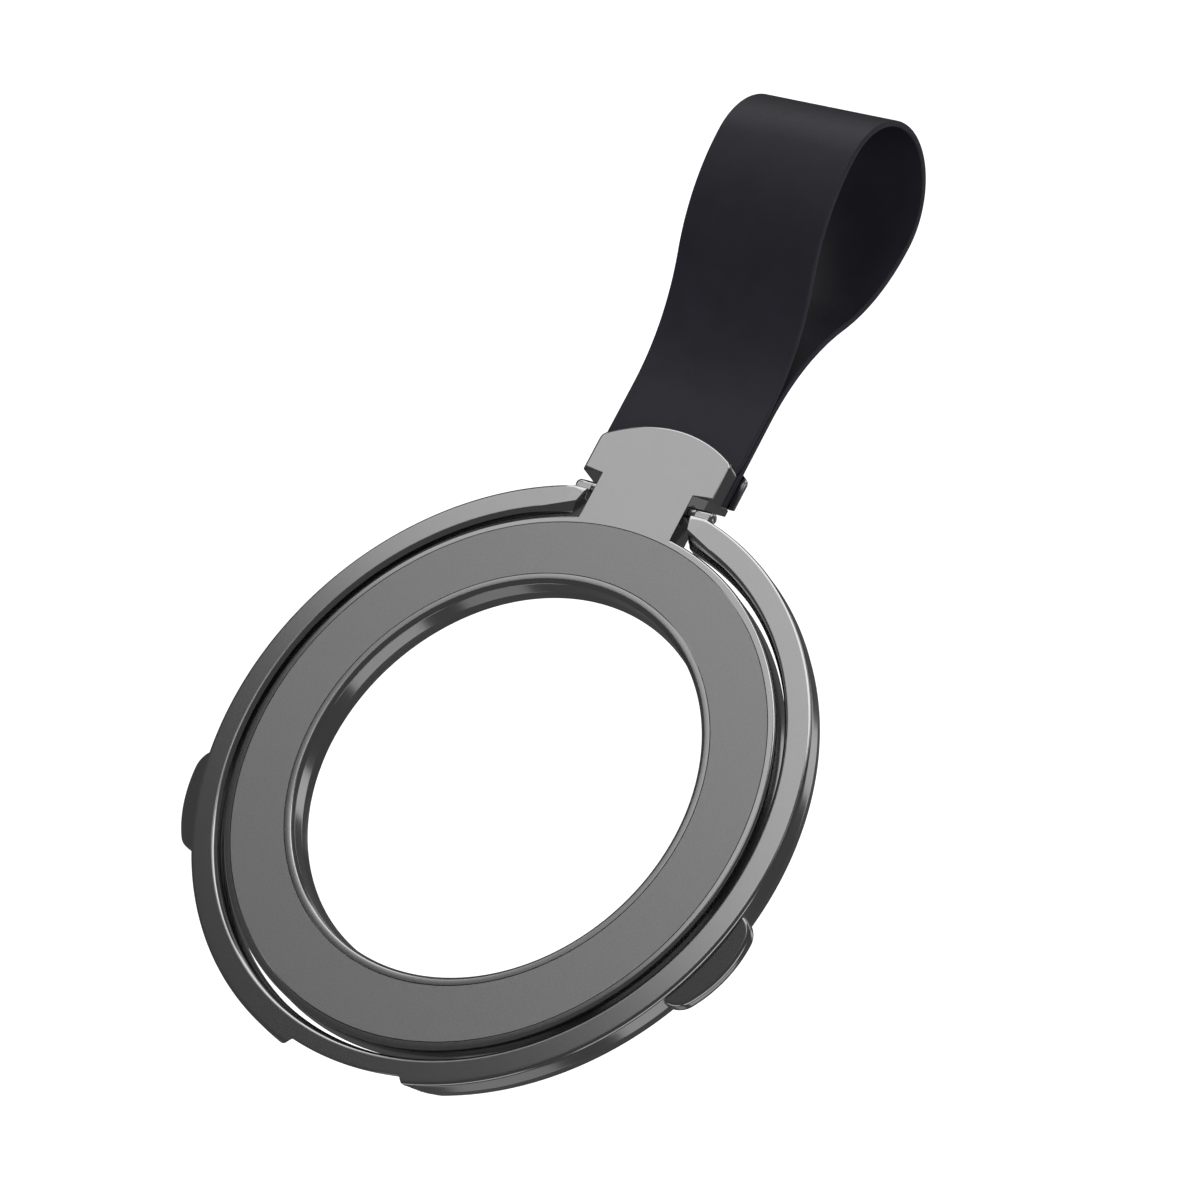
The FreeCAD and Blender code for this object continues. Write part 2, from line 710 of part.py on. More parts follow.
for item in doc.Objects:
    if "Invalid" in item.State or "Error" in item.State:
        raise RuntimeError(f"{item.Name} did not build: {item.State}")
for part in sub_parts:
    if part.Shape.isNull() or not part.Shape.isValid():
        raise RuntimeError(f"{part.Label} has no valid shape")

os.makedirs("parts", exist_ok=True)
for part in sub_parts:
    part.Shape.exportStep(f"parts/{part.Label}.step")
    print(part.Label, len(part.Shape.Solids), round(part.Shape.Volume, 2))
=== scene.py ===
"""Looks of a magnetic phone ring: plate, folding stand ring, hinge, head and finger strap."""

import logging
import math
from collections.abc import Callable, Iterable, Sequence
from dataclasses import dataclass
from enum import Enum

import bmesh
import bpy
from mathutils import Matrix, Vector


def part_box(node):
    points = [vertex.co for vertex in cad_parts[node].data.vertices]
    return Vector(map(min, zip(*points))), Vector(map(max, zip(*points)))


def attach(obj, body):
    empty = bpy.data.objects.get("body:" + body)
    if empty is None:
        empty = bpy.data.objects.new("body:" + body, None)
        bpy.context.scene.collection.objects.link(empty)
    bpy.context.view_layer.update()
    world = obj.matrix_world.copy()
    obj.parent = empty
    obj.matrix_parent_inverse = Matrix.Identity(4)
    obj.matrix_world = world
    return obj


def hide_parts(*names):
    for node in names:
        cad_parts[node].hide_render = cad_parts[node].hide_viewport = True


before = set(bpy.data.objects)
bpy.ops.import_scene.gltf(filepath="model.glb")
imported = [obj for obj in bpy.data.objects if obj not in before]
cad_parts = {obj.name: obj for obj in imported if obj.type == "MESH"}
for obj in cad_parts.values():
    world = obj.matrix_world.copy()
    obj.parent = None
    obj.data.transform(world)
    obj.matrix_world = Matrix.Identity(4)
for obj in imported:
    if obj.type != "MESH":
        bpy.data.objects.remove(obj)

LOG = logging.getLogger("phone_ring")
MM = 0.001

# Largest share of a side that the rounding of a corner takes
SIDE_SHARE = 0.45
# Straight pieces in a crown and in each of its corners
CROWN_STEPS, CORNER_STEPS = 48, 14
# How far a cutter reaches past the form that it cuts, in millimetres
CUTTER_SPARE = 1.0
# Angle between two faces, in degrees, from which their edge stays sharp
SHARP_ANGLE = 32.0
# How much the large faces count in the shading of their edges, in percent
FLAT_WEIGHT = 90
# Part of the cloudy values that is stretched over a whole range
CLOUD_RANGE = (0.3, 0.7)

Point = tuple[float, float]
Corner = tuple[float, float, float]
Spot = tuple[float, float, float]
Place = Callable[[float, float, float], Spot]


class Body(Enum):
    """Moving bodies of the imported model."""

    PLATE = "plate"
    STAND = "stand"


class Slot(Enum):
    """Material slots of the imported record."""

    GREY_METAL = "grey_metal"
    SANDED_METAL = "sanded_metal"
    SHUNT_STEEL = "shunt_steel"
    MAGNET_PLATING = "magnet_plating"
    PAD_RUBBER = "pad_rubber"
    PIN_STEEL = "pin_steel"
    BUSH_BRASS = "bush_brass"
    STRAP_RUBBER = "strap_rubber"


class Join(Enum):
    """Ways in which one solid joins another."""

    ADD = "UNION"
    CUT = "DIFFERENCE"


def flat(across: float, along: float, up: float) -> Spot:
    """Keep a point as it is, for forms that lie on the phone."""
    return across, along, up


def on_axle(level: float, along: float, across: float) -> Spot:
    """Turn a point so that the form's own height runs along the hinge."""
    return across, along, level


def side_view(along: float, level: float, across: float) -> Spot:
    """Turn a point of a side view so that the form's own height runs along the hinge."""
    return across, along, level


def moved(place: Place, along: float, level: float) -> Place:
    """Place a form and then move it in the model's side view.

    Args:
        place: How the form lies.
        along: Move along +Y, in millimetres.
        level: Move along +Z, in millimetres.

    Returns:
        The combined placing.
    """
    def placed(one: float, two: float, three: float) -> Spot:
        """Place one point."""
        x, y, z = place(one, two, three)
        return x, y + along, z + level
    return placed


def limited(share: float) -> float:
    """Keep a share between 0 and 1."""
    return min(max(share, 0.0), 1.0)


def quarter(steps: int) -> list[float]:
    """Angles of a quarter turn in so many steps, both ends included."""
    return [math.pi / 2 * step / steps for step in range(steps + 1)]


def soften(corners: Sequence[Corner], steps: int) -> list[Point]:
    """Round the corners of a closed outline.

    Args:
        corners: Two coordinates each, and how far the rounding reaches along both sides.
        steps: Straight pieces in each rounding.

    Returns:
        The outline's points, as many for every outline of the same corners.
    """
    points: list[Point] = []
    for index, (u, v, reach) in enumerate(corners):
        here = Vector((u, v))
        if reach == 0.0:
            points.append((u, v))
            continue
        sides = []
        for other in (corners[index - 1], corners[(index + 1) % len(corners)]):
            side = Vector(other[:2]) - here
            sides.append(here + side.normalized() * min(reach, side.length * SIDE_SHARE))
        for step in range(steps + 1):
            t = step / steps
            spot = sides[0] * (1 - t) ** 2 + here * 2 * t * (1 - t) + sides[1] * t ** 2
            points.append((spot.x, spot.y))
    return points


def arc(centre: Point, radius: float, start: float, end: float, steps: int) -> list[Point]:
    """Points of an arc.

    Args:
        centre: Middle of the arc.
        radius: Its radius.
        start: First angle in degrees, anticlockwise from the first coordinate's axis.
        end: Last angle in degrees.
        steps: Straight pieces in the arc.

    Returns:
        The points from start to end, both included.
    """
    angles = [math.radians(start + (end - start) * step / steps) for step in range(steps + 1)]
    return [(centre[0] + radius * math.cos(a), centre[1] + radius * math.sin(a)) for a in angles]


def rounded(outer: Point, inner: Point, steps: int) -> list[Corner]:
    """Rounded edge from an upright wall to a flat top.

    Args:
        outer: Radius and height at which the wall ends.
        inner: Radius and height at which the top begins.
        steps: Straight pieces in the rounding.

    Returns:
        The rounding's points, both ends included, as corners that stay sharp.
    """
    return [(inner[0] + (outer[0] - inner[0]) * math.cos(turn),
             outer[1] + (inner[1] - outer[1]) * math.sin(turn), 0.0) for turn in quarter(steps)]


def bar(side: float, near: float, far: float, reach: float = 0.0) -> list[Corner]:
    """Outline of a straight bar on the middle line.

    Args:
        side: Half of its width.
        near: Line at which it begins.
        far: Line at which it ends.
        reach: Reach of its rims' rounding.

    Returns:
        Its four corners, anticlockwise.
    """
    return [(side, near, reach), (side, far, reach), (-side, far, reach), (-side, near, reach)]


def crowned(side: float, apex: float, crown: float, corner: float) -> list[Point]:
    """Crowned end of an outline, with a rounded corner on both sides.

    Args:
        side: Half of the outline's width.
        apex: Furthest point of the crown.
        crown: Radius of the crown.
        corner: Radius of the corners.

    Returns:
        The points from the right side over the crown to the left side.
    """
    across, centre = side - corner, apex - crown
    rise = math.sqrt((crown - corner) ** 2 - across ** 2)
    lean = math.degrees(math.atan2(rise, across))
    right = arc((across, centre + rise), corner, 0.0, lean, CORNER_STEPS)
    left = [(-x, y) for x, y in reversed(right)]
    return [*right[:-1], *arc((0.0, centre), crown, lean, 180 - lean, CROWN_STEPS), *left[1:]]


def make_object(name: str, points: Iterable[Sequence[float]],
                faces: Iterable[Sequence[int]]) -> bpy.types.Object:
    """Make a mesh object from points in millimetres.

    Args:
        name: Name of the object.
        points: Corners of the mesh.
        faces: Corner numbers of each face.

    Returns:
        The object, linked to the scene, with its faces turned outwards.
    """
    mesh = bpy.data.meshes.new(name)
    mesh.from_pydata([Vector(point) * MM for point in points], [], list(faces))
    work = bmesh.new()
    work.from_mesh(mesh)
    bmesh.ops.recalc_face_normals(work, faces=work.faces)
    work.to_mesh(mesh)
    work.free()
    made = bpy.data.objects.new(name, mesh)
    bpy.context.scene.collection.objects.link(made)
    return made


def skin(name: str, loops: Sequence[Sequence[Sequence[float]]], closed: bool) -> bpy.types.Object:
    """Lay faces over a row of closed loops with as many points each.

    Args:
        name: Name of the object.
        loops: The loops in order, points in millimetres.
        closed: Whether the last loop meets the first; if not, both ends get a cap.

    Returns:
        The object.
    """
    count = len(loops[0])
    faces: list[list[int]] = []
    for row in range(len(loops) - (0 if closed else 1)):
        here, there = row * count, (row + 1) % len(loops) * count
        for one in range(count):
            two = (one + 1) % count
            faces.append([here + one, here + two, there + two, there + one])
    if not closed:
        last = (len(loops) - 1) * count
        faces.append(list(range(count)))
        faces.append(list(range(last, last + count)))
    return make_object(name, [point for loop in loops for point in loop], faces)


def turned(name: str, profile: Sequence[Point], steps: int) -> bpy.types.Object:
    """Turn a closed half section about the plate's axis.

    Args:
        name: Name of the object.
        profile: Radius and height of each point.
        steps: Sections around the axis.

    Returns:
        The object.
    """
    loops = []
    for step in range(steps):
        angle = math.tau * step / steps
        sine, cosine = math.sin(angle), math.cos(angle)
        loops.append([(r * sine, r * cosine, z) for r, z in profile])
    return skin(name, loops, closed=True)


def spun(name: str, profile: Sequence[Point], steps: int, place: Place) -> bpy.types.Object:
    """Turn an open half section about its axis and close both ends.

    Args:
        name: Name of the object.
        profile: Radius and height of each point, from one end of the axis to the other.
        steps: Points around the axis.
        place: How the form lies in the model.

    Returns:
        The object.
    """
    turns = [math.tau * step / steps for step in range(steps)]
    loops = [[place(r * math.cos(turn), r * math.sin(turn), z) for turn in turns]
             for r, z in profile]
    return skin(name, loops, closed=False)


def inset(outline: Sequence[Corner], share: float) -> list[Point]:
    """Move an outline inwards.

    Args:
        outline: Anticlockwise points, each with the reach of its rounding.
        share: Part of that reach by which each point moves.

    Returns:
        The moved points.
    """
    moved_points: list[Point] = []
    for index, (x, y, reach) in enumerate(outline):
        here = Vector((x, y))
        before = (here - Vector(outline[index - 1][:2])).normalized()
        after = (Vector(outline[(index + 1) % len(outline)][:2]) - here).normalized()
        one, two = Vector((-before.y, before.x)), Vector((-after.y, after.x))
        spot = here + (one + two) / (1 + one.dot(two)) * reach * share
        moved_points.append((spot.x, spot.y))
    return moved_points


def slab(name: str, outline: Sequence[Corner], low: float, high: float, under: float = 0.0,
         steps: int = 4, place: Place = flat) -> bpy.types.Object:
    """Raise an outline to a slab with rounded rims.

    Args:
        name: Name of the object.
        outline: Anticlockwise points, each with the reach of its rounding.
        low: Height of the lower face.
        high: Height of the upper face.
        under: How large the lower rim's rounding is, as a share of the upper rim's.
        steps: Straight pieces in the rounding.
        place: How the form lies in the model.

    Returns:
        The object.
    """
    turns = quarter(steps)
    loops = []
    for turn in (reversed(turns) if under else turns[:1]):
        edge, rise = inset(outline, under * (1 - math.cos(turn))), under * (1 - math.sin(turn))
        loops.append([place(x, y, low + corner[2] * rise)
                      for (x, y), corner in zip(edge, outline)])
    for turn in turns:
        edge, drop = inset(outline, 1 - math.cos(turn)), 1 - math.sin(turn)
        loops.append([place(x, y, high - corner[2] * drop)
                      for (x, y), corner in zip(edge, outline)])
    return skin(name, loops, closed=False)


def join(target: bpy.types.Object, tool: bpy.types.Object, way: Join) -> None:
    """Add a solid to another or cut it away, and remove the tool.

    Args:
        target: Solid that changes.
        tool: Solid that is added or cut away.
        way: What is done.
    """
    step = target.modifiers.new("join", "BOOLEAN")
    step.operation = way.value
    step.solver = "EXACT"
    step.object = tool
    bpy.context.view_layer.update()
    seen = target.evaluated_get(bpy.context.evaluated_depsgraph_get())
    mesh = bpy.data.meshes.new_from_object(seen)
    target.modifiers.clear()
    target.data = mesh
    mesh.name = target.name
    bpy.data.objects.remove(tool)


def smooth(piece: bpy.types.Object) -> None:
    """Shade a piece smoothly, with sharp edges where its faces meet at a large angle.

    Args:
        piece: The made piece.
    """
    piece.data.polygons.foreach_set("use_smooth", [True] * len(piece.data.polygons))
    piece.data.set_sharp_from_angle(angle=math.radians(SHARP_ANGLE))
    weigh = piece.modifiers.new("flat_faces", "WEIGHTED_NORMAL")
    weigh.weight = FLAT_WEIGHT
    weigh.keep_sharp = True


def bare_nodes(owner: bpy.types.Material | bpy.types.World) -> bpy.types.NodeTree:
    """Give a material or world an empty set of nodes.

    Args:
        owner: The material or world.

    Returns:
        Its nodes.
    """
    owner.use_nodes = True
    owner.node_tree.nodes.clear()
    return owner.node_tree


class NodeBoard:
    """Nodes of one material around its main shader."""

    def __init__(self, name: str) -> None:
        """Start a material with its main shader and the object's own coordinates.

        Args:
            name: Name of the material.
        """
        self.material = bpy.data.materials.new(name)
        self.tree = bare_nodes(self.material)
        self.shader = self.add("ShaderNodeBsdfPrincipled")
        output = self.add("ShaderNodeOutputMaterial")
        self.link(self.shader.outputs["BSDF"], output.inputs["Surface"])
        self.places = self.add("ShaderNodeTexCoord").outputs["Object"]

    def add(self, kind: str, **sockets: float | tuple[float, ...]) -> bpy.types.Node:
        """Add a node.

        Args:
            kind: Type of the node.
            **sockets: Values of its input sockets, with _ for a blank in a name.

        Returns:
            The node.
        """
        node = self.tree.nodes.new(kind)
        for name, value in sockets.items():
            node.inputs[name.replace("_", " ")].default_value = value
        return node

    def link(self, source: bpy.types.NodeSocket, target: bpy.types.NodeSocket) -> None:
        """Join two sockets."""
        self.tree.links.new(source, target)

    def noise(self, scale: float, detail: float) -> bpy.types.NodeSocket:
        """Cloudy values from 0 to 1.

        Args:
            scale: Clouds per metre.
            detail: How many finer layers they have.

        Returns:
            The socket with the values.
        """
        cloud = self.add("ShaderNodeTexNoise", Scale=scale, Detail=detail, Roughness=0.6)
        self.link(self.places, cloud.inputs["Vector"])
        return cloud.outputs["Fac"]

    def gloss(self, source: bpy.types.NodeSocket, middle: float, change: float) -> None:
        """Let the roughness change with cloudy values.

        Args:
            source: The cloudy values.
            middle: Roughness in the middle.
            change: By how much it is larger or smaller.
        """
        stretch = self.add("ShaderNodeMapRange", From_Min=CLOUD_RANGE[0], From_Max=CLOUD_RANGE[1],
                           To_Min=middle - change, To_Max=middle + change)
        self.link(source, stretch.inputs["Value"])
        self.link(stretch.outputs["Result"], self.shader.inputs["Roughness"])

    def tint(self, source: bpy.types.NodeSocket, colour: Sequence[float], change: float) -> None:
        """Let the colour change with cloudy values.

        Args:
            source: The cloudy values.
            colour: Colour in the middle.
            change: Share by which it is lighter or darker.
        """
        ramp = self.add("ShaderNodeValToRGB")
        for stop, place, share in zip(ramp.color_ramp.elements, CLOUD_RANGE, (-change, change)):
            stop.position = place
            stop.color = (*[part * (1 + share) for part in colour], 1.0)
        self.link(source, ramp.inputs["Fac"])
        self.link(ramp.outputs["Color"], self.shader.inputs["Base Color"])

    def bump(self, source: bpy.types.NodeSocket, depth: float, strength: float) -> None:
        """Roughen the surface.

        Args:
            source: The cloudy values.
            depth: Depth of the relief in millimetres.
            strength: How much of it shows.
        """
        relief = self.add("ShaderNodeBump", Distance=depth * MM, Strength=strength)
        self.link(source, relief.inputs["Height"])
        self.link(relief.outputs["Normal"], self.shader.inputs["Normal"])


@dataclass(frozen=True)
class MetalFinish:
    """Metal with a fine grain, slight tint changes and uneven gloss."""

    name: str
    colour: tuple[float, float, float]
    roughness: float
    unevenness: float
    grains_per_metre: float
    grain_depth: float
    grain_strength: float
    grain_detail: float = 2.0
    tint_change: float = 0.04
    tints_per_metre: float = 420.0
    tint_detail: float = 4.0

    def material(self) -> bpy.types.Material:
        """Make the finish's material, or take the one made before.

        Returns:
            The material.
        """
        known = bpy.data.materials.get(self.name)
        if known:
            return known
        board = NodeBoard(self.name)
        board.shader.inputs["Metallic"].default_value = 1.0
        clouds = board.noise(self.tints_per_metre, self.tint_detail)
        board.tint(clouds, self.colour, self.tint_change)
        grain = board.noise(self.grains_per_metre, self.grain_detail)
        board.gloss(grain, self.roughness, self.unevenness)
        board.bump(grain, self.grain_depth, self.grain_strength)
        return board.material


@dataclass(frozen=True)
class RubberFinish:
    """Soft rubber with a fine skin, a faint sheen and slight tint changes."""

    name: str
    colour: tuple[float, float, float]
    roughness: float
    pores_per_metre: float
    pore_depth: float
    sheen: float
    sheen_roughness: float = 0.4
    refraction: float = 1.43
    reflection: float = 0.4
    unevenness: float = 0.05
    pore_strength: float = 0.5
    pore_detail: float = 3.0
    tint_change: float = 0.1
    tints_per_metre: float = 300.0
    tint_detail: float = 5.0

    def material(self) -> bpy.types.Material:
        """Make the finish's material, or take the one made before.

        Returns:
            The material.
        """
        known = bpy.data.materials.get(self.name)
        if known:
            return known
        board = NodeBoard(self.name)
        board.shader.inputs["Sheen Weight"].default_value = self.sheen
        board.shader.inputs["Sheen Roughness"].default_value = self.sheen_roughness
        board.shader.inputs["IOR"].default_value = self.refraction
        board.shader.inputs["Specular IOR Level"].default_value = self.reflection
        clouds = board.noise(self.tints_per_metre, self.tint_detail)
        board.tint(clouds, self.colour, self.tint_change)
        pores = board.noise(self.pores_per_metre, self.pore_detail)
        board.gloss(pores, self.roughness, self.unevenness)
        board.bump(pores, self.pore_depth, self.pore_strength)
        return board.material


Finish = MetalFinish | RubberFinish

GREY_METAL = MetalFinish(
    "grey_metal_satin", (0.4, 0.4, 0.4), roughness=0.155, unevenness=0.004,
    grains_per_metre=6000.0, grain_depth=0.001, grain_strength=0.05, tint_change=0.012)
SANDED_METAL = MetalFinish(
    "sanded_metal_grain", (0.425, 0.425, 0.425), roughness=0.42, unevenness=0.05,
    grains_per_metre=5200.0, grain_depth=0.012, grain_strength=0.5, tint_change=0.1,
    tints_per_metre=5200.0)
SHUNT_STEEL = MetalFinish(
    "shunt_steel_rolled", (0.5, 0.5, 0.51), roughness=0.38, unevenness=0.08,
    grains_per_metre=3000.0, grain_depth=0.01, grain_strength=0.4)
MAGNET_PLATING = MetalFinish(
    "magnet_nickel", (0.62, 0.61, 0.59), roughness=0.2, unevenness=0.05,
    grains_per_metre=4000.0, grain_depth=0.006, grain_strength=0.3)
PIN_STEEL = MetalFinish(
    "pin_steel_turned", (0.5, 0.5, 0.51), roughness=0.2, unevenness=0.05,
    grains_per_metre=7000.0, grain_depth=0.004, grain_strength=0.3)
BUSH_BRASS = MetalFinish(
    "bush_brass_turned", (0.6, 0.47, 0.25), roughness=0.28, unevenness=0.06,
    grains_per_metre=6000.0, grain_depth=0.006, grain_strength=0.3)
STRAP_RUBBER = RubberFinish(
    "strap_silicone", (0.0155, 0.0142, 0.0205), roughness=0.52, pores_per_metre=6000.0,
    pore_depth=0.006, sheen=0.0)
PAD_RUBBER = RubberFinish(
    "pad_silicone", (0.035, 0.035, 0.038), roughness=0.6, pores_per_metre=5000.0,
    pore_depth=0.02, sheen=0.08)


def show(piece: bpy.types.Object, finish: Finish, slot: Slot, body: Body, *nodes: str) -> None:
    """Dress a piece, let it ride on its body and let it stand for its nodes.

    Args:
        piece: The made piece.
        finish: Its finish.
        slot: The record's slot that the finish belongs to; not used.
        body: Body that it moves with.
        *nodes: Solids of the model that it stands for.
    """
    piece.data.materials.clear()
    piece.data.materials.append(finish.material())
    smooth(piece)
    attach(piece, body.value)
    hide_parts(*nodes)
    LOG.info("%s: %d faces", piece.name, len(piece.data.polygons))


def dress(node: str, finish: Finish) -> None:
    """Give a solid of the model its finish.

    Args:
        node: Name of the solid.
        finish: Its finish.
    """
    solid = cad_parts[node]
    solid.data.materials.clear()
    solid.data.materials.append(finish.material())
    LOG.info("%s: dressed", node)


@dataclass
class PlateHead:
    """Round magnet plate with its neck, head, face insert and pad, in millimetres."""

    hole_radius: float = 21.2
    plate_radius: float = 28.8
    chamfer: float = 0.35
    lip: float = 0.23
    lip_height: float = 0.9
    inner_rim: float = 0.65
    outer_rim: float = 0.45
    insert_thickness: float = 0.4
    insert_gap: float = 0.04
    insert_seam: float = 0.04
    insert_edge: float = 0.01
    insert_steps: int = 3
    channel_inner: float = 22.9
    channel_outer: float = 27.6
    channel_top: float = 2.3
    pad_gap: float = 0.07
    pad_edge: float = 0.2
    pad_back_edge: float = 0.05
    neck_side: float = 5.42
    root_steps: int = 24
    head_side: float = 7.85
    head_length: float = 6.5
    crown_radius: float = 14.3
    corner_radius: float = 1.0
    jaw_thickness: float = 1.0
    cheek: float = 0.13
    cheek_depth: float = 0.67
    rib_width: float = 0.7
    edge: float = 0.07
    edge_steps: int = 4
    rim_edge: float = 0.1
    rim_steps: int = 8
    head_edge: float = 0.36
    rib_edge: float = 0.2
    turns: int = 384

    def __post_init__(self) -> None:
        """Take the levels and lines that the model gives."""
        pad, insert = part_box("phone_pad"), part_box("face_insert")
        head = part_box("front_frame")
        self.pad_top: float = pad[1].z / MM
        self.pad_radius: float = pad[1].x / MM
        self.front: float = insert[1].z / MM
        self.apex: float = head[1].y / MM
        self.rib_under: float = head[0].z / MM
        self.head_base: float = self.apex - self.head_length
        self.insert_inner: float = self.hole_radius + self.chamfer + self.inner_rim
        self.insert_outer: float = self.plate_radius - self.chamfer - self.outer_rim

    def build(self) -> None:
        """Build and dress every piece of the plate."""
        self.build_frame()
        self.build_insert()
        self.build_pad()

    def build_frame(self) -> None:
        """Build the plate with its rims, neck, jaw and rib as one cast piece."""
        low, high, edge = self.pad_top, self.front, self.edge
        seat = high - self.insert_thickness
        plate = turned("front_frame_casting", soften([
            (self.hole_radius + self.chamfer, high, self.rim_edge),
            (self.hole_radius, high - self.chamfer, edge),
            (self.hole_radius, low + self.lip_height, edge),
            (self.hole_radius - self.lip, low, edge / 2),
            (self.channel_inner, low, 0.0),
            (self.channel_inner, self.channel_top, 0.0),
            (self.channel_outer, self.channel_top, 0.0),
            (self.channel_outer, low, 0.0),
            (self.plate_radius, low, edge),
            *rounded((self.plate_radius, high - self.chamfer),
                     (self.plate_radius - self.chamfer, high), self.rim_steps),
            (self.insert_outer + self.insert_gap, high, 0.0),
            (self.insert_outer + self.insert_gap, seat, 0.0),
            (self.insert_inner - self.insert_gap, seat, 0.0),
            (self.insert_inner - self.insert_gap, high, 0.0),
        ], self.edge_steps), self.turns)
        jaw_under = high - self.jaw_thickness
        jaw_middle = jaw_under + self.jaw_thickness / 2
        jaw = slab("jaw", self.face_outline(), jaw_under - self.cheek_depth, high)
        join(jaw, self.strap_pocket(jaw_under), Join.CUT)
        join(plate, jaw, Join.ADD)
        neck = bar(self.neck_side, self.root_line(), self.head_base + self.rib_width / 2)
        join(plate, slab("neck", neck, low, jaw_middle), Join.ADD)
        rib = bar(self.head_side, self.head_base, self.head_base + self.rib_width, self.rib_edge)
        join(plate, slab("rib", rib, self.rib_under, jaw_middle, under=1.0), Join.ADD)
        show(plate, GREY_METAL, Slot.GREY_METAL, Body.PLATE, "front_frame")

    def strap_pocket(self, top: float) -> bpy.types.Object:
        """Cutter for the room under the jaw, which leaves a thin cheek beside the strap's edges.

        Args:
            top: Height of the jaw's underside.

        Returns:
            The cutter.
        """
        under = top - self.cheek_depth - CUTTER_SPARE
        line = self.head_base + self.rib_width / 2
        room = bar(self.head_side - self.cheek, line, self.apex + CUTTER_SPARE)
        behind = bar(self.head_side + CUTTER_SPARE, self.plate_radius / 2, line)
        cutter = slab("strap_pocket", room, under, top)
        join(cutter, slab("neck_room", behind, under, top), Join.ADD)
        return cutter

    def root_line(self) -> float:
        """Line at which the neck's sides meet the middle of the plate's outer rim."""
        root = self.insert_outer + (self.insert_gap + self.outer_rim) / 2
        return math.sqrt(root ** 2 - self.neck_side ** 2)

    def face_outline(self) -> list[Corner]:
        """Outline of the neck's and head's common front face.

        Returns:
            Anticlockwise points with the reach of the rim's rounding, none at the neck's root.
        """
        line, edge = self.root_line(), self.edge
        start = math.degrees(math.atan2(line, self.neck_side))
        radius = math.hypot(line, self.neck_side)
        root = arc((0.0, 0.0), radius, 180 - start, start, self.root_steps)
        sides = [(self.neck_side, self.plate_radius, edge), (self.neck_side, self.head_base, edge)]
        crown = crowned(self.head_side, self.apex, self.crown_radius, self.corner_radius)
        head = [(self.head_side, self.head_base), *crown, (-self.head_side, self.head_base)]
        return [*[(x, y, 0.0) for x, y in root], *sides,
                *[(x, y, self.head_edge) for x, y in head],
                *[(-x, y, reach) for x, y, reach in reversed(sides)]]

    def build_insert(self) -> None:
        """Build the sanded ring that is let into the face."""
        under = self.front - self.insert_thickness
        inner, outer = self.insert_inner + self.insert_seam, self.insert_outer - self.insert_seam
        insert = turned("face_insert_ring", soften([
            (inner, self.front, self.insert_edge),
            (outer, self.front, self.insert_edge),
            (outer, under, 0.0),
            (inner, under, 0.0),
        ], self.insert_steps), self.turns)
        show(insert, SANDED_METAL, Slot.SANDED_METAL, Body.PLATE, "face_insert")

    def build_pad(self) -> None:
        """Build the soft ring that lies on the phone."""
        inner = self.hole_radius + self.pad_gap
        pad = turned("phone_pad_ring", soften([
            (inner, self.pad_top, self.pad_back_edge),
            (self.pad_radius, self.pad_top, self.pad_back_edge),
            (self.pad_radius, 0.0, self.pad_edge),
            (inner, 0.0, self.pad_edge),
        ], self.edge_steps), self.turns)
        show(pad, PAD_RUBBER, Slot.PAD_RUBBER, Body.PLATE, "phone_pad")


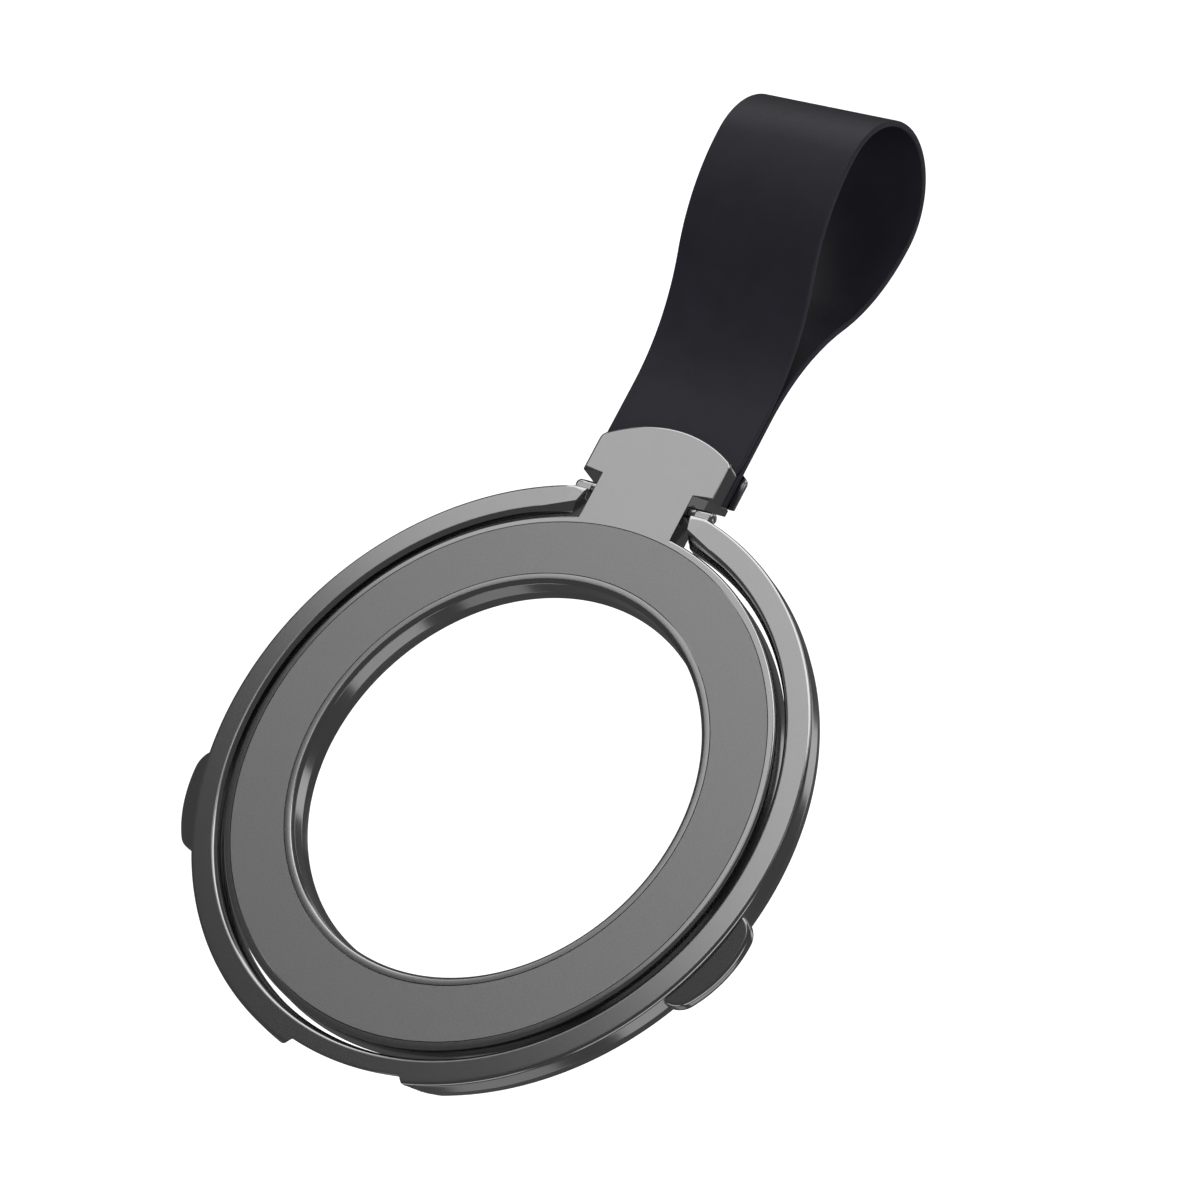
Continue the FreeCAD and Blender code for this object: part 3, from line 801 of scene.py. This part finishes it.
@dataclass
class StandRing:
    """Open stand ring with ears, nail scoop, bevelled ends and hinge knuckles, in millimetres."""

    inner_radius: float = 29.25
    lip_step: float = 0.3
    lip_depth: float = 1.0
    inner_chamfer: float = 0.36
    lower_chamfer: float = 0.55
    outer_radius: float = 32.35
    outer_taper: float = 0.28
    taper_steps: int = 5
    band_depth: float = 1.85
    band_steps: int = 6
    outer_bevel: float = 0.29
    outer_bevel_depth: float = 0.45
    bevel_steps: int = 6
    facet: float = 0.12
    facet_lean: float = 28.0
    edge: float = 0.1
    top_edge: float = 0.17
    top_room: float = 0.05
    edge_steps: int = 5
    first_section: float = 8.0
    sections: int = 372
    end_lean: float = 16.0
    end_line: float = 31.37
    end_facet: float = 0.46
    end_facet_drop: float = 0.17
    end_overcut: float = 0.2
    end_edge: float = 0.12
    end_steps: int = 6
    end_bevel_angle: float = 23.9
    end_bevel_depth: float = 1.3
    knuckle_start: float = 6.2
    knuckle_length: float = 1.75
    knuckle_radius: float = 0.6
    knuckle_root: float = 0.9
    knuckle_edge: float = 0.08
    knuckle_steps: int = 24
    ear_angle: float = 110.0
    ear_length: float = 10.8
    ear_reach: float = 2.05
    ear_corner: float = 2.2
    ear_curve: float = 12.5
    ear_depth: float = 0.6
    ear_slope: float = 0.45
    ear_thickness: float = 1.9
    ear_edge: float = 0.34
    ear_under: float = 2.6
    ear_steps: int = 8
    scoop_half: float = 6.7
    scoop_flare: float = 2.9
    scoop_top: float = 0.7
    scoop_bottom: float = 1.85
    scoop_end: float = 0.45
    scoop_spacing: float = 0.09
    scoop_sections: int = 56
    scoop_clear: float = 0.5

    def __post_init__(self) -> None:
        """Take the levels that the model gives."""
        ring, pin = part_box("stand_ring"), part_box("hinge_pin")
        self.under: float = ring[0].z / MM
        self.front: float = ring[1].z / MM
        self.hinge_line: float = (pin[0].y + pin[1].y) / 2 / MM
        self.hinge_level: float = (pin[0].z + pin[1].z) / 2 / MM

    def scooped(self, radius: float, level: float, angle: float) -> float:
        """Radius of a point of the outside where the scoop is cut in.

        Args:
            radius: Radius without the scoop.
            level: Height of the point.
            angle: Degrees clockwise from +Y.

        Returns:
            The smaller radius inside the scoop, with a soft step at its ends.
        """
        depth = (self.front - level) / (self.front - self.under)
        away = abs(math.radians(angle - 180.0)) * self.outer_radius
        half = self.scoop_half + self.scoop_flare * depth
        share = limited((half - away) / self.scoop_end + 0.5)
        share = share * share * (3 - 2 * share)
        floor = self.outer_radius - self.scoop_top - (self.scoop_bottom - self.scoop_top) * depth
        if level > self.front - self.outer_bevel_depth:
            floor -= (self.outer_radius - radius) / 2
        return radius + (min(radius, floor) - radius) * share

    def outside(self) -> list[Corner]:
        """Outer side of the ring's section, without the scoop.

        Returns:
            The corners from the underside to the top, close enough together for the scoop.
        """
        facet_drop = self.facet * math.tan(math.radians(self.facet_lean))
        knots = [
            (self.outer_radius - self.outer_taper, self.under, self.edge),
            (self.outer_radius, self.front - self.band_depth, self.edge * 2),
            *rounded((self.outer_radius, self.front - self.outer_bevel_depth),
                     (self.outer_radius - self.outer_bevel + self.facet, self.front - facet_drop),
                     self.bevel_steps),
            (self.outer_radius - self.outer_bevel, self.front, self.facet / 4),
        ]
        splits = (self.taper_steps, self.band_steps, *[1] * (self.bevel_steps + 1))
        line: list[Corner] = []
        for one, two, parts in zip(knots, knots[1:], splits):
            line.append(one)
            for part in range(1, parts):
                share = part / parts
                line.append((one[0] + (two[0] - one[0]) * share,
                             one[1] + (two[1] - one[1]) * share, 0.0))
        return [*line, knots[-1]]

    def section(self, angle: float) -> list[Point]:
        """Section of the ring, with softened edges.

        Args:
            angle: Degrees clockwise from +Y.

        Returns:
            Radius and height of its points, as many at every angle.
        """
        wall, edge = self.inner_radius + self.lip_step, self.edge
        inside = [
            (wall + self.inner_chamfer, self.front, self.top_edge),
            (wall, self.front - self.inner_chamfer, edge),
            (wall, self.front - self.lip_depth, edge / 2),
            (self.inner_radius, self.front - self.lip_depth - self.lip_step, edge),
            (self.inner_radius, self.under + self.lower_chamfer, edge),
            (self.inner_radius + self.lower_chamfer, self.under, edge),
        ]
        cut = [(self.scooped(r, z, angle), z, reach) for r, z, reach in self.outside()]
        room = self.top_edge + self.top_room
        top = [(cut[-1][0] - room, self.front, 0.0),
               (wall + self.inner_chamfer + room, self.front, 0.0)]
        return soften([*inside, *cut, *top], self.edge_steps)

    def angles(self) -> list[float]:
        """Angles of the sections, closer together at the ends of the scoop.

        Returns:
            Degrees clockwise from +Y, in order.
        """
        start, steps = self.first_section, self.sections
        even = [start + (360 - 2 * start) * step / steps for step in range(steps + 1)]
        near = [self.scoop_half - self.scoop_end + step * self.scoop_spacing
                for step in range(self.scoop_sections)]
        close = [math.degrees(away / self.outer_radius) for away in near]
        first, last = close[0] - self.scoop_clear, close[-1] + self.scoop_clear
        kept = [a for a in even if not first < abs(a - 180) < last]
        return sorted(kept + [180 + a for a in close] + [180 - a for a in close])

    def build(self) -> None:
        """Build the ring and join its ears, ends and knuckles."""
        loops = []
        for angle in self.angles():
            sine, cosine = math.sin(math.radians(angle)), math.cos(math.radians(angle))
            loops.append([(r * sine, r * cosine, z) for r, z in self.section(angle)])
        ring = skin("stand_ring_casting", loops, closed=False)
        for side in (1, -1):
            join(ring, self.ear(side), Join.ADD)
        past, half = self.outer_radius + 2 * CUTTER_SPARE, self.inner_radius / 2
        lean = math.tan(math.radians(self.end_lean))
        wide = self.knuckle_start + (self.end_line - half) * lean
        narrow = self.knuckle_start - (past - self.end_line) * lean
        mouth = [(-wide, half, 0.0), (wide, half, 0.0), (narrow, past, 0.0), (-narrow, past, 0.0)]
        gap = slab("mouth", mouth, self.under - CUTTER_SPARE, self.front + CUTTER_SPARE)
        join(ring, gap, Join.CUT)
        join(ring, self.end_cutter(past, half), Join.CUT)
        for side in (1, -1):
            join(ring, self.end_bevel(side), Join.CUT)
            join(ring, self.knuckle(side), Join.ADD)
        show(ring, GREY_METAL, Slot.GREY_METAL, Body.STAND, "stand_ring")

    def end_cutter(self, past: float, half: float) -> bpy.types.Object:
        """Cutter for the straight ends beside the hinge, whose tops fall a little and are rounded.

        Args:
            past: How far along the neck the cutter reaches.
            half: How far it reaches to both sides.

        Returns:
            The cutter.
        """
        low, high = self.under - CUTTER_SPARE, self.front + CUTTER_SPARE
        slope = self.end_facet_drop / self.end_facet
        start = self.end_line - self.end_facet - 1 / slope * self.end_overcut
        outline = soften([
            (self.end_line, low, 0.0),
            (past, low, 0.0),
            (past, high, 0.0),
            (start, self.front + self.end_overcut, 0.0),
            (self.end_line, self.front - self.end_facet_drop, self.end_edge),
        ], self.end_steps)
        return slab("end_cutter", [(y, z, 0.0) for y, z in outline], -half, half, place=side_view)

    def ear(self, side: int) -> bpy.types.Object:
        """Finger ear with a curved outline, a sloped top and rounded rims.

        Args:
            side: 1 for the ear on +X, -1 for the other.

        Returns:
            The ear as a solid that reaches into the ring.
        """
        ray = math.radians(self.ear_angle)
        half, root = self.ear_length / 2, (self.inner_radius + self.outer_radius) / 2
        curve = crowned(half, self.outer_radius + self.ear_reach, self.ear_curve, self.ear_corner)
        points = [(v * math.sin(ray) + u * math.cos(ray), v * math.cos(ray) - u * math.sin(ray))
                  for u, v in [(half, root), *curve, (-half, root)]]
        low = self.front - self.ear_depth - self.ear_thickness
        high = self.front - self.ear_depth
        outline = [(x, y, self.ear_edge) for x, y in points]
        if side < 0:
            outline = [(-x, y, reach) for x, y, reach in reversed(outline)]
        ear = slab(f"ear_{side}", outline, low, high, under=self.ear_under, steps=self.ear_steps)
        middle_height = (low + high) / 2 * MM
        out = Vector((side * math.sin(ray), math.cos(ray), 0.0))
        for corner in ear.data.vertices:
            if corner.co.z > middle_height:
                beyond = corner.co.dot(out) - self.outer_radius * MM
                corner.co.z -= beyond * self.ear_slope / self.ear_reach
        return ear

    def end_bevel(self, side: int) -> bpy.types.Object:
        """Cutter for the bevel that widens the inner chamfer towards one end.

        Args:
            side: 1 for the end on +X, -1 for the other.

        Returns:
            The cutter.
        """
        angle = math.radians(self.end_bevel_angle)
        edge = self.inner_radius + self.lip_step + self.inner_chamfer
        out = Vector((math.sin(angle), math.cos(angle), 0.0))
        run = Vector((-math.cos(angle), math.sin(angle), 0.0))
        touch = out * edge + Vector((0.0, 0.0, self.front))
        rise, depth, inwards = CUTTER_SPARE, self.end_bevel_depth, self.inner_radius / 4
        shape = [(rise, rise), (-inwards, rise), (-inwards, -depth), (-depth, -depth)]
        loops = []
        for along in (0.0, edge * math.sin(angle)):
            spots = [touch + run * along + out * u + Vector((0.0, 0.0, v)) for u, v in shape]
            loops.append([(spot.x * side, spot.y, spot.z) for spot in spots])
        return skin(f"end_bevel_{side}", loops, closed=False)

    def knuckle(self, side: int) -> bpy.types.Object:
        """Round hinge knuckle that grows out of one end.

        Args:
            side: 1 for the end on +X, -1 for the other.

        Returns:
            The knuckle as a solid that reaches into the ring.
        """
        root, radius = self.end_line - self.knuckle_root, self.knuckle_radius
        hub = (self.hinge_line, self.hinge_level)
        points = [(root, self.hinge_level - radius), *arc(hub, radius, -90, 90, self.knuckle_steps),
                  (root, self.hinge_level + radius)]
        outline = [(y, z, self.knuckle_edge) for y, z in points]
        reaches = (self.knuckle_start, self.knuckle_start + self.knuckle_length)
        low, high = sorted(side * reach for reach in reaches)
        return slab(f"knuckle_{side}", outline, low, high, under=1.0, place=side_view)


@dataclass
class Hinge:
    """Hinge pin with peened ends, between its bushes and washers, in millimetres."""

    pin_radius: float = 0.35
    pin_steps: int = 48
    shoulder: float = 7.95
    dome_end: float = 86.0
    dome_steps: int = 10

    def build(self) -> None:
        """Build the pin and dress the bushes and washers."""
        low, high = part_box("hinge_pin")
        tip = high.x / MM
        head = (high.y - low.y) / 2 / MM
        line, level = (high.y + low.y) / 2 / MM, (high.z + low.z) / 2 / MM
        dome = [(head * out, self.shoulder + (tip - self.shoulder) * up)
                for out, up in arc((0.0, 0.0), 1.0, 0.0, self.dome_end, self.dome_steps)]
        half = [(self.pin_radius, self.shoulder), *dome]
        profile = [*[(r, -x) for r, x in reversed(half)], *half]
        pin = spun("hinge_pin_steel", profile, self.pin_steps, moved(on_axle, line, level))
        show(pin, PIN_STEEL, Slot.PIN_STEEL, Body.STAND, "hinge_pin")
        for side in ("left", "right"):
            dress(f"friction_bush_{side}", BUSH_BRASS)
            dress(f"friction_washer_{side}", PIN_STEEL)


@dataclass
class Strap:
    """Finger strap that is clamped in the head and parts into a loop, in millimetres."""

    thickness: float = 0.65
    slit: float = 0.1
    straight: float = 10.0
    straight_steps: int = 40
    flare_radius: float = 25.0
    bend_steps: int = 26
    loop_radius: float = 8.2
    loop_run: float = 25.9
    loop_steps: int = 72
    edge: float = 0.16
    edge_steps: int = 5
    tuck: float = 0.32
    tuck_from: float = 38.0
    tuck_to: float = 36.9

    def path(self) -> list[tuple[Vector, Vector]]:
        """Middle line of the strap in its side view.

        Returns:
            Places and headings from the end behind the head's rib, round the loop and back.
        """
        low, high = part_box("strap")
        half = self.slit / 2 + self.thickness
        rise = self.loop_radius - half
        bends = (self.loop_run ** 2 + rise ** 2) / (2 * rise)
        lean = math.asin(self.loop_run / bends)
        swell = bends - self.flare_radius - self.thickness / 2
        flare = self.flare_radius + self.thickness / 2
        loop = self.loop_radius - self.thickness / 2
        spot = Vector((low.y / MM, (low.z + high.z) / 2 / MM - (self.slit + self.thickness) / 2))
        heading = 0.0
        steps: list[tuple[Vector, Vector]] = []

        def forward(length: float, count: int) -> None:
            """Go straight ahead by a length, in so many steps."""
            nonlocal spot
            ahead = Vector((math.cos(heading), math.sin(heading)))
            for step in range(count):
                steps.append((spot + ahead * length * step / count, ahead))
            spot = spot + ahead * length

        def turn(radius: float, angle: float, count: int) -> None:
            """Follow an arc in so many steps, to the left for a positive angle."""
            nonlocal spot, heading
            sign = math.copysign(1.0, angle)
            hub = spot + Vector((-math.sin(heading), math.cos(heading))) * radius * sign
            for step in range(count):
                now = heading + angle * step / count
                steps.append((hub - Vector((-math.sin(now), math.cos(now))) * radius * sign,
                              Vector((math.cos(now), math.sin(now)))))
            heading += angle
            spot = hub - Vector((-math.sin(heading), math.cos(heading))) * radius * sign

        forward(self.straight, self.straight_steps)
        turn(flare, -lean, self.bend_steps)
        turn(swell, lean, self.bend_steps)
        turn(loop, math.pi, self.loop_steps)
        turn(swell, lean, self.bend_steps)
        turn(flare, -lean, self.bend_steps)
        forward(self.straight, self.straight_steps)
        steps.append((spot, Vector((math.cos(heading), math.sin(heading)))))
        return steps

    def build(self) -> None:
        """Sweep the strap's rounded section along its middle line, narrower between the cheeks."""
        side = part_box("strap")[1].x / MM
        section = soften(bar(side, -self.thickness / 2, self.thickness / 2, self.edge),
                         self.edge_steps)
        loops = []
        for spot, ahead in self.path():
            out = Vector((-ahead.y, ahead.x))
            share = limited((self.tuck_from - spot.x) / (self.tuck_from - self.tuck_to))
            narrow = 1 - (self.tuck / side * share if ahead.x < 0 else 0.0)
            loops.append([(x * narrow, spot.x + out.x * w, spot.y + out.y * w)
                          for x, w in section])
        strap = skin("finger_strap", loops, closed=False)
        show(strap, STRAP_RUBBER, Slot.STRAP_RUBBER, Body.PLATE, "strap")


@dataclass
class Clamp:
    """Back plate of the head and its countersunk screw, in millimetres."""

    crown_radius: float = 14.3
    corner_radius: float = 0.7
    edge: float = 0.25
    lower_rim: tuple[Point, ...] = ((2.0, 0.0), (0.8, 0.35), (0.2, 0.85), (0.0, 1.4))
    ledge: float = 0.65
    ledge_drop: float = 0.2
    ledge_edge: Point = (0.04, 0.05)
    screw_line: float = 36.5
    screw_radius: float = 0.55
    screw_head: float = 1.1
    screw_steps: int = 64
    sink_spare: float = 0.5

    def build(self) -> None:
        """Build the clamp plate with its countersink and dress the screw."""
        low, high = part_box("clamp_plate")
        side, base, apex = high.x / MM, low.y / MM, high.y / MM
        under, top = low.z / MM, high.z / MM
        crown = crowned(side, apex, self.crown_radius, self.corner_radius)
        outline = [(x, y, 1.0) for x, y in [(-side, base), (side, base), *crown]]
        foot = top - self.ledge_drop
        rims = [*[(self.edge * inwards, under + self.edge * up) for inwards, up in self.lower_rim],
                (0.0, foot - self.ledge_edge[1]), (self.ledge_edge[0], foot), (self.ledge, top)]
        loops = [[(x, y, level) for x, y in inset(outline, inwards)] for inwards, level in rims]
        plate = skin("clamp_back_plate", loops, closed=False)
        sink = self.screw_head - self.screw_radius
        hole = spun("countersink", [
            (self.screw_head + self.sink_spare, under - self.sink_spare),
            (self.screw_radius, under + sink),
            (self.screw_radius, under + 2 * CUTTER_SPARE),
        ], self.screw_steps, moved(flat, self.screw_line, 0.0))
        join(plate, hole, Join.CUT)
        show(plate, GREY_METAL, Slot.GREY_METAL, Body.PLATE, "clamp_plate")
        dress("clamp_screw", PIN_STEEL)


class Inside:
    """Magnets and steel ring in the plate's channel."""

    def build(self) -> None:
        """Dress the solids that the casting hides."""
        dress("magnet_segments", MAGNET_PLATING)
        dress("shunt_ring", SHUNT_STEEL)


@dataclass(frozen=True)
class Window:
    """Opening in a ball around the object, by its turns and rises in degrees."""

    turns: Point
    rises: Point

    def holds(self, turns: Point, rises: Point) -> bool:
        """Tell whether a face lies in the opening.

        Args:
            turns: First and last turn of the face.
            rises: Lowest and highest rise of the face.

        Returns:
            True for a face that is left out.
        """
        return (turns[0] >= self.turns[0] and turns[1] <= self.turns[1]
                and rises[0] >= self.rises[0] and rises[1] <= self.rises[1])


def ball_patch(name: str, turns: Sequence[float], rises: Sequence[float], radius: float,
               windows: Sequence[Window] = ()) -> bpy.types.Object:
    """Make a piece of a ball around the object.

    Args:
        name: Name of the piece.
        turns: Its columns in degrees, anticlockwise from +X.
        rises: Its rows in degrees above the level of the phone.
        radius: Radius of the ball in metres.
        windows: Openings in it.

    Returns:
        The piece, not yet dressed.
    """
    points, faces, count = [], [], len(rises)
    for turn in turns:
        for rise in rises:
            a, e = math.radians(turn), math.radians(rise)
            spot = Vector((math.cos(a) * math.cos(e), math.sin(a) * math.cos(e), math.sin(e)))
            points.append(spot * radius / MM)
    for column, across in enumerate(zip(turns, turns[1:])):
        for row, up in enumerate(zip(rises, rises[1:])):
            if not any(window.holds(across, up) for window in windows):
                one = column * count + row
                faces.append([one, one + 1, one + 1 + count, one + count])
    return make_object(name, points, faces)


@dataclass(frozen=True)
class Screen:
    """Glowing curved screen that shows in the metal's reflections alone, a painted reflection, by
    its turns and rises in degrees.
    """

    name: str
    turns: Point
    rises: Point
    distance: float
    shade: float
    steps: int = 12

    def build(self) -> bpy.types.Object:
        """Make the screen as a piece of a ball around the object.

        Returns:
            The screen, not yet dressed.
        """
        turns, rises = [[low + (high - low) * step / self.steps for step in range(self.steps + 1)]
                        for low, high in (self.turns, self.rises)]
        return ball_patch(self.name, turns, rises, self.distance)


@dataclass(frozen=True)
class SoftBox:
    """Rectangular soft light that faces the object, in metres and watts."""

    name: str
    place: Spot
    width: float
    height: float
    watts: float
    aim: Spot = (0.0, 0.02, 0.0)

    def build(self) -> None:
        """Add the light, which the metal does not reflect."""
        lamp = bpy.data.lights.new(self.name, "AREA")
        lamp.shape = "RECTANGLE"
        lamp.size, lamp.size_y = self.width, self.height
        lamp.energy = self.watts
        made = bpy.data.objects.new(self.name, lamp)
        made.location = self.place
        ahead = Vector(self.aim) - Vector(self.place)
        made.rotation_euler = ahead.to_track_quat("-Z", "Y").to_euler()
        made.visible_glossy = False
        bpy.context.scene.collection.objects.link(made)


@dataclass(frozen=True)
class Viewpoint:
    """Camera at the photograph's viewing angle, its place in millimetres."""

    place: Spot = (262.536, -129.589, 375.750)
    right: Spot = (0.808170, 0.442690, -0.388441)
    up: Spot = (-0.222767, 0.840321, 0.494202)
    back: Spot = (0.545193, -0.312867, 0.777740)
    sensor_width: float = 36.0
    focal_length: float = 148.93
    clip: Point = (0.01, 20.0)

    def build(self) -> None:
        """Add the camera and look through it."""
        lens = bpy.data.cameras.new("camera")
        lens.sensor_width = self.sensor_width
        lens.lens = self.focal_length
        lens.clip_start, lens.clip_end = self.clip
        camera = bpy.data.objects.new("camera", lens)
        bpy.context.scene.collection.objects.link(camera)
        turn = Matrix((self.right, self.up, self.back)).transposed().to_4x4()
        camera.matrix_world = Matrix.Translation(Vector(self.place) * MM) @ turn
        bpy.context.scene.camera = camera


@dataclass
class Studio:
    """Pale floor, white surroundings behind a painted dark tent, glowing screens that show in
    reflections alone, soft lights and the camera, in metres.
    """

    fill_colour: tuple[float, float, float, float] = (0.5, 0.5, 0.52, 1.0)
    floor_level: float = -0.6
    floor_radius: float = 6.0
    floor_steps: int = 96
    floor_shade: float = 0.8
    floor_glow: float = 0.6
    tent_radius: float = 1.5
    tent_foot: float = -8.0
    bowl_radius: float = 0.55
    bowl_rim: float = -3.0
    column_step: int = 12
    row_step: int = 10
    # Glow of the dark tent and bowl, a painted dark reflection
    tent_shade: float = 0.1
    windows: tuple[Window, ...] = (Window((112.0, 153.4), (34.0, 68.0)),)
    # Screens glow in reflections alone: painted highlights and reflections, not lamps
    screens: tuple[Screen, ...] = (
        Screen("far_box", (96.0, 132.0), (9.0, 34.0), 1.4, 2.0),
        Screen("side_box", (60.0, 107.0), (30.0, 54.0), 1.3, 2.0),
        Screen("ledge_box", (50.0, 100.0), (64.0, 82.0), 1.4, 1.0),
        Screen("far_strip", (88.0, 122.0), (-6.0, 7.0), 0.5, 0.42),
        Screen("right_strip", (52.0, 79.0), (-62.0, -38.0), 0.5, 0.8),
        Screen("front_strip", (-51.0, 0.0), (-62.0, -38.0), 0.5, 0.6),
        Screen("left_strip", (-112.0, -74.0), (-62.0, -38.0), 0.5, 0.37),
        Screen("right_skirt", (48.0, 84.0), (-16.0, 2.0), 0.5, 1.0),
        Screen("front_skirt", (-58.0, 4.0), (-16.0, 4.0), 0.5, 1.2),
        Screen("left_skirt", (-112.0, -72.0), (-16.0, 4.0), 0.5, 1.1),
    )
    lights: tuple[SoftBox, ...] = (
        SoftBox("key_box", (0.0, 0.62, 1.06), 1.0, 0.5, 4.0),
        SoftBox("side_fill", (0.95, -0.25, 0.4), 0.6, 0.6, 7.0),
    )
    viewpoint: Viewpoint = Viewpoint()

    def build(self) -> None:
        """Set up everything around the object."""
        bpy.context.scene.view_settings.view_transform = "Standard"
        self.build_world()
        self.build_floor()
        self.build_tent()
        # Painted reflections: glowing screens that only the metal's gloss shows
        for screen in self.screens:
            self.reflected_only(screen.build(), screen.shade)
        for light in self.lights:
            light.build()
        self.viewpoint.build()

    def seen_directly(self, tree: bpy.types.NodeTree) -> bpy.types.NodeSocket:
        """Value that is 1 for rays from the camera, from gloss and through glass, and else 0.

        Args:
            tree: Nodes that it is added to.

        Returns:
            The socket with the value.
        """
        path = tree.nodes.new("ShaderNodeLightPath")
        total = path.outputs["Is Camera Ray"]
        for name in ("Is Glossy Ray", "Is Transmission Ray"):
            step = tree.nodes.new("ShaderNodeMath")
            step.operation = "MAXIMUM"
            tree.links.new(total, step.inputs[0])
            tree.links.new(path.outputs[name], step.inputs[1])
            total = step.outputs[0]
        return total

    def build_world(self) -> None:
        """White surroundings that give the object only a plain soft light."""
        world = bpy.data.worlds.new("studio")
        bpy.context.scene.world = world
        tree = bare_nodes(world)
        output = tree.nodes.new("ShaderNodeOutputWorld")
        mix = tree.nodes.new("ShaderNodeMixShader")
        fill, white = [tree.nodes.new("ShaderNodeBackground") for _ in range(2)]
        fill.inputs["Color"].default_value = self.fill_colour
        white.inputs["Color"].default_value = (1.0, 1.0, 1.0, 1.0)
        tree.links.new(self.seen_directly(tree), mix.inputs[0])
        tree.links.new(fill.outputs[0], mix.inputs[1])
        tree.links.new(white.outputs[0], mix.inputs[2])
        tree.links.new(mix.outputs[0], output.inputs["Surface"])

    def build_floor(self) -> None:
        """Pale floor that shows white and keeps the object's shadow."""
        rim = arc((0.0, 0.0), self.floor_radius / MM, 0.0, 360.0, self.floor_steps)[:-1]
        points = [(x, y, self.floor_level / MM) for x, y in rim]
        floor = make_object("floor", points, [list(range(len(points)))])
        material = bpy.data.materials.new("floor_paper")
        tree = bare_nodes(material)
        output = tree.nodes.new("ShaderNodeOutputMaterial")
        paper, glow = tree.nodes.new("ShaderNodeBsdfDiffuse"), tree.nodes.new("ShaderNodeEmission")
        both = tree.nodes.new("ShaderNodeAddShader")
        paper.inputs["Color"].default_value = (*[self.floor_shade] * 3, 1.0)
        strength = tree.nodes.new("ShaderNodeMath")
        strength.operation = "MULTIPLY"
        strength.inputs[1].default_value = self.floor_glow
        tree.links.new(self.seen_directly(tree), strength.inputs[0])
        tree.links.new(strength.outputs[0], glow.inputs["Strength"])
        tree.links.new(paper.outputs[0], both.inputs[0])
        tree.links.new(glow.outputs[0], both.inputs[1])
        tree.links.new(both.outputs[0], output.inputs["Surface"])
        floor.data.materials.append(material)

    def build_tent(self) -> None:
        """Dark tent with windows over a dark bowl, a painted dark reflection that only the metal's
        gloss shows.
        """
        above = [self.tent_foot, *range(0, 91, self.row_step)]
        below = [*range(-90, 0, self.row_step), self.bowl_rim]
        self.dark_ball("painted_dark_tent", self.tent_radius, above, self.windows)
        self.dark_ball("painted_dark_bowl", self.bowl_radius, below, ())

    def dark_ball(self, name: str, radius: float, rows: Iterable[float],
                  windows: Sequence[Window]) -> None:
        """Part of a dark ball around the object, a painted dark reflection.

        Args:
            name: Name of the part.
            radius: Radius of the ball in metres.
            rows: Heights of its rows in degrees.
            windows: Openings, which get rows and columns of their own.
        """
        columns = range(0, 361, self.column_step)
        turns = sorted({*columns, *[turn for window in windows for turn in window.turns]})
        rises = sorted({*rows, *[rise for window in windows for rise in window.rises]})
        self.reflected_only(ball_patch(name, turns, rises, radius, windows), self.tent_shade)

    def reflected_only(self, panel: bpy.types.Object, shade: float) -> None:
        """Give a panel a plain glow that shows in reflections alone, a painted reflection that
        lights nothing and casts no shadow.

        Args:
            panel: The panel.
            shade: Brightness of the painted reflection, 1 for white.
        """
        material = bpy.data.materials.new(f"{panel.name}_cloth")
        tree = bare_nodes(material)
        output = tree.nodes.new("ShaderNodeOutputMaterial")
        # Emission that only glossy rays see: a painted reflection, not a lamp
        glow = tree.nodes.new("ShaderNodeEmission")
        glow.inputs["Color"].default_value = (shade, shade, shade, 1.0)
        tree.links.new(glow.outputs[0], output.inputs["Surface"])
        panel.data.materials.append(material)
        panel.visible_camera = False
        panel.visible_diffuse = False
        panel.visible_shadow = False
        panel.visible_transmission = False


def corners(box: tuple[Vector, Vector]) -> list[list[float]]:
    """Write a box as plain lists of numbers."""
    return [list(box[0]), list(box[1])]


def main() -> None:
    """Build the object's looks and its studio in order."""
    logging.basicConfig(level=logging.INFO, format="%(name)s %(message)s")
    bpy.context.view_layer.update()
    for part in (PlateHead(), StandRing(), Hinge(), Strap(), Clamp(), Inside(), Studio()):
        part.build()
        LOG.info("%s built", type(part).__name__)


if __name__ == "__main__":
    main()
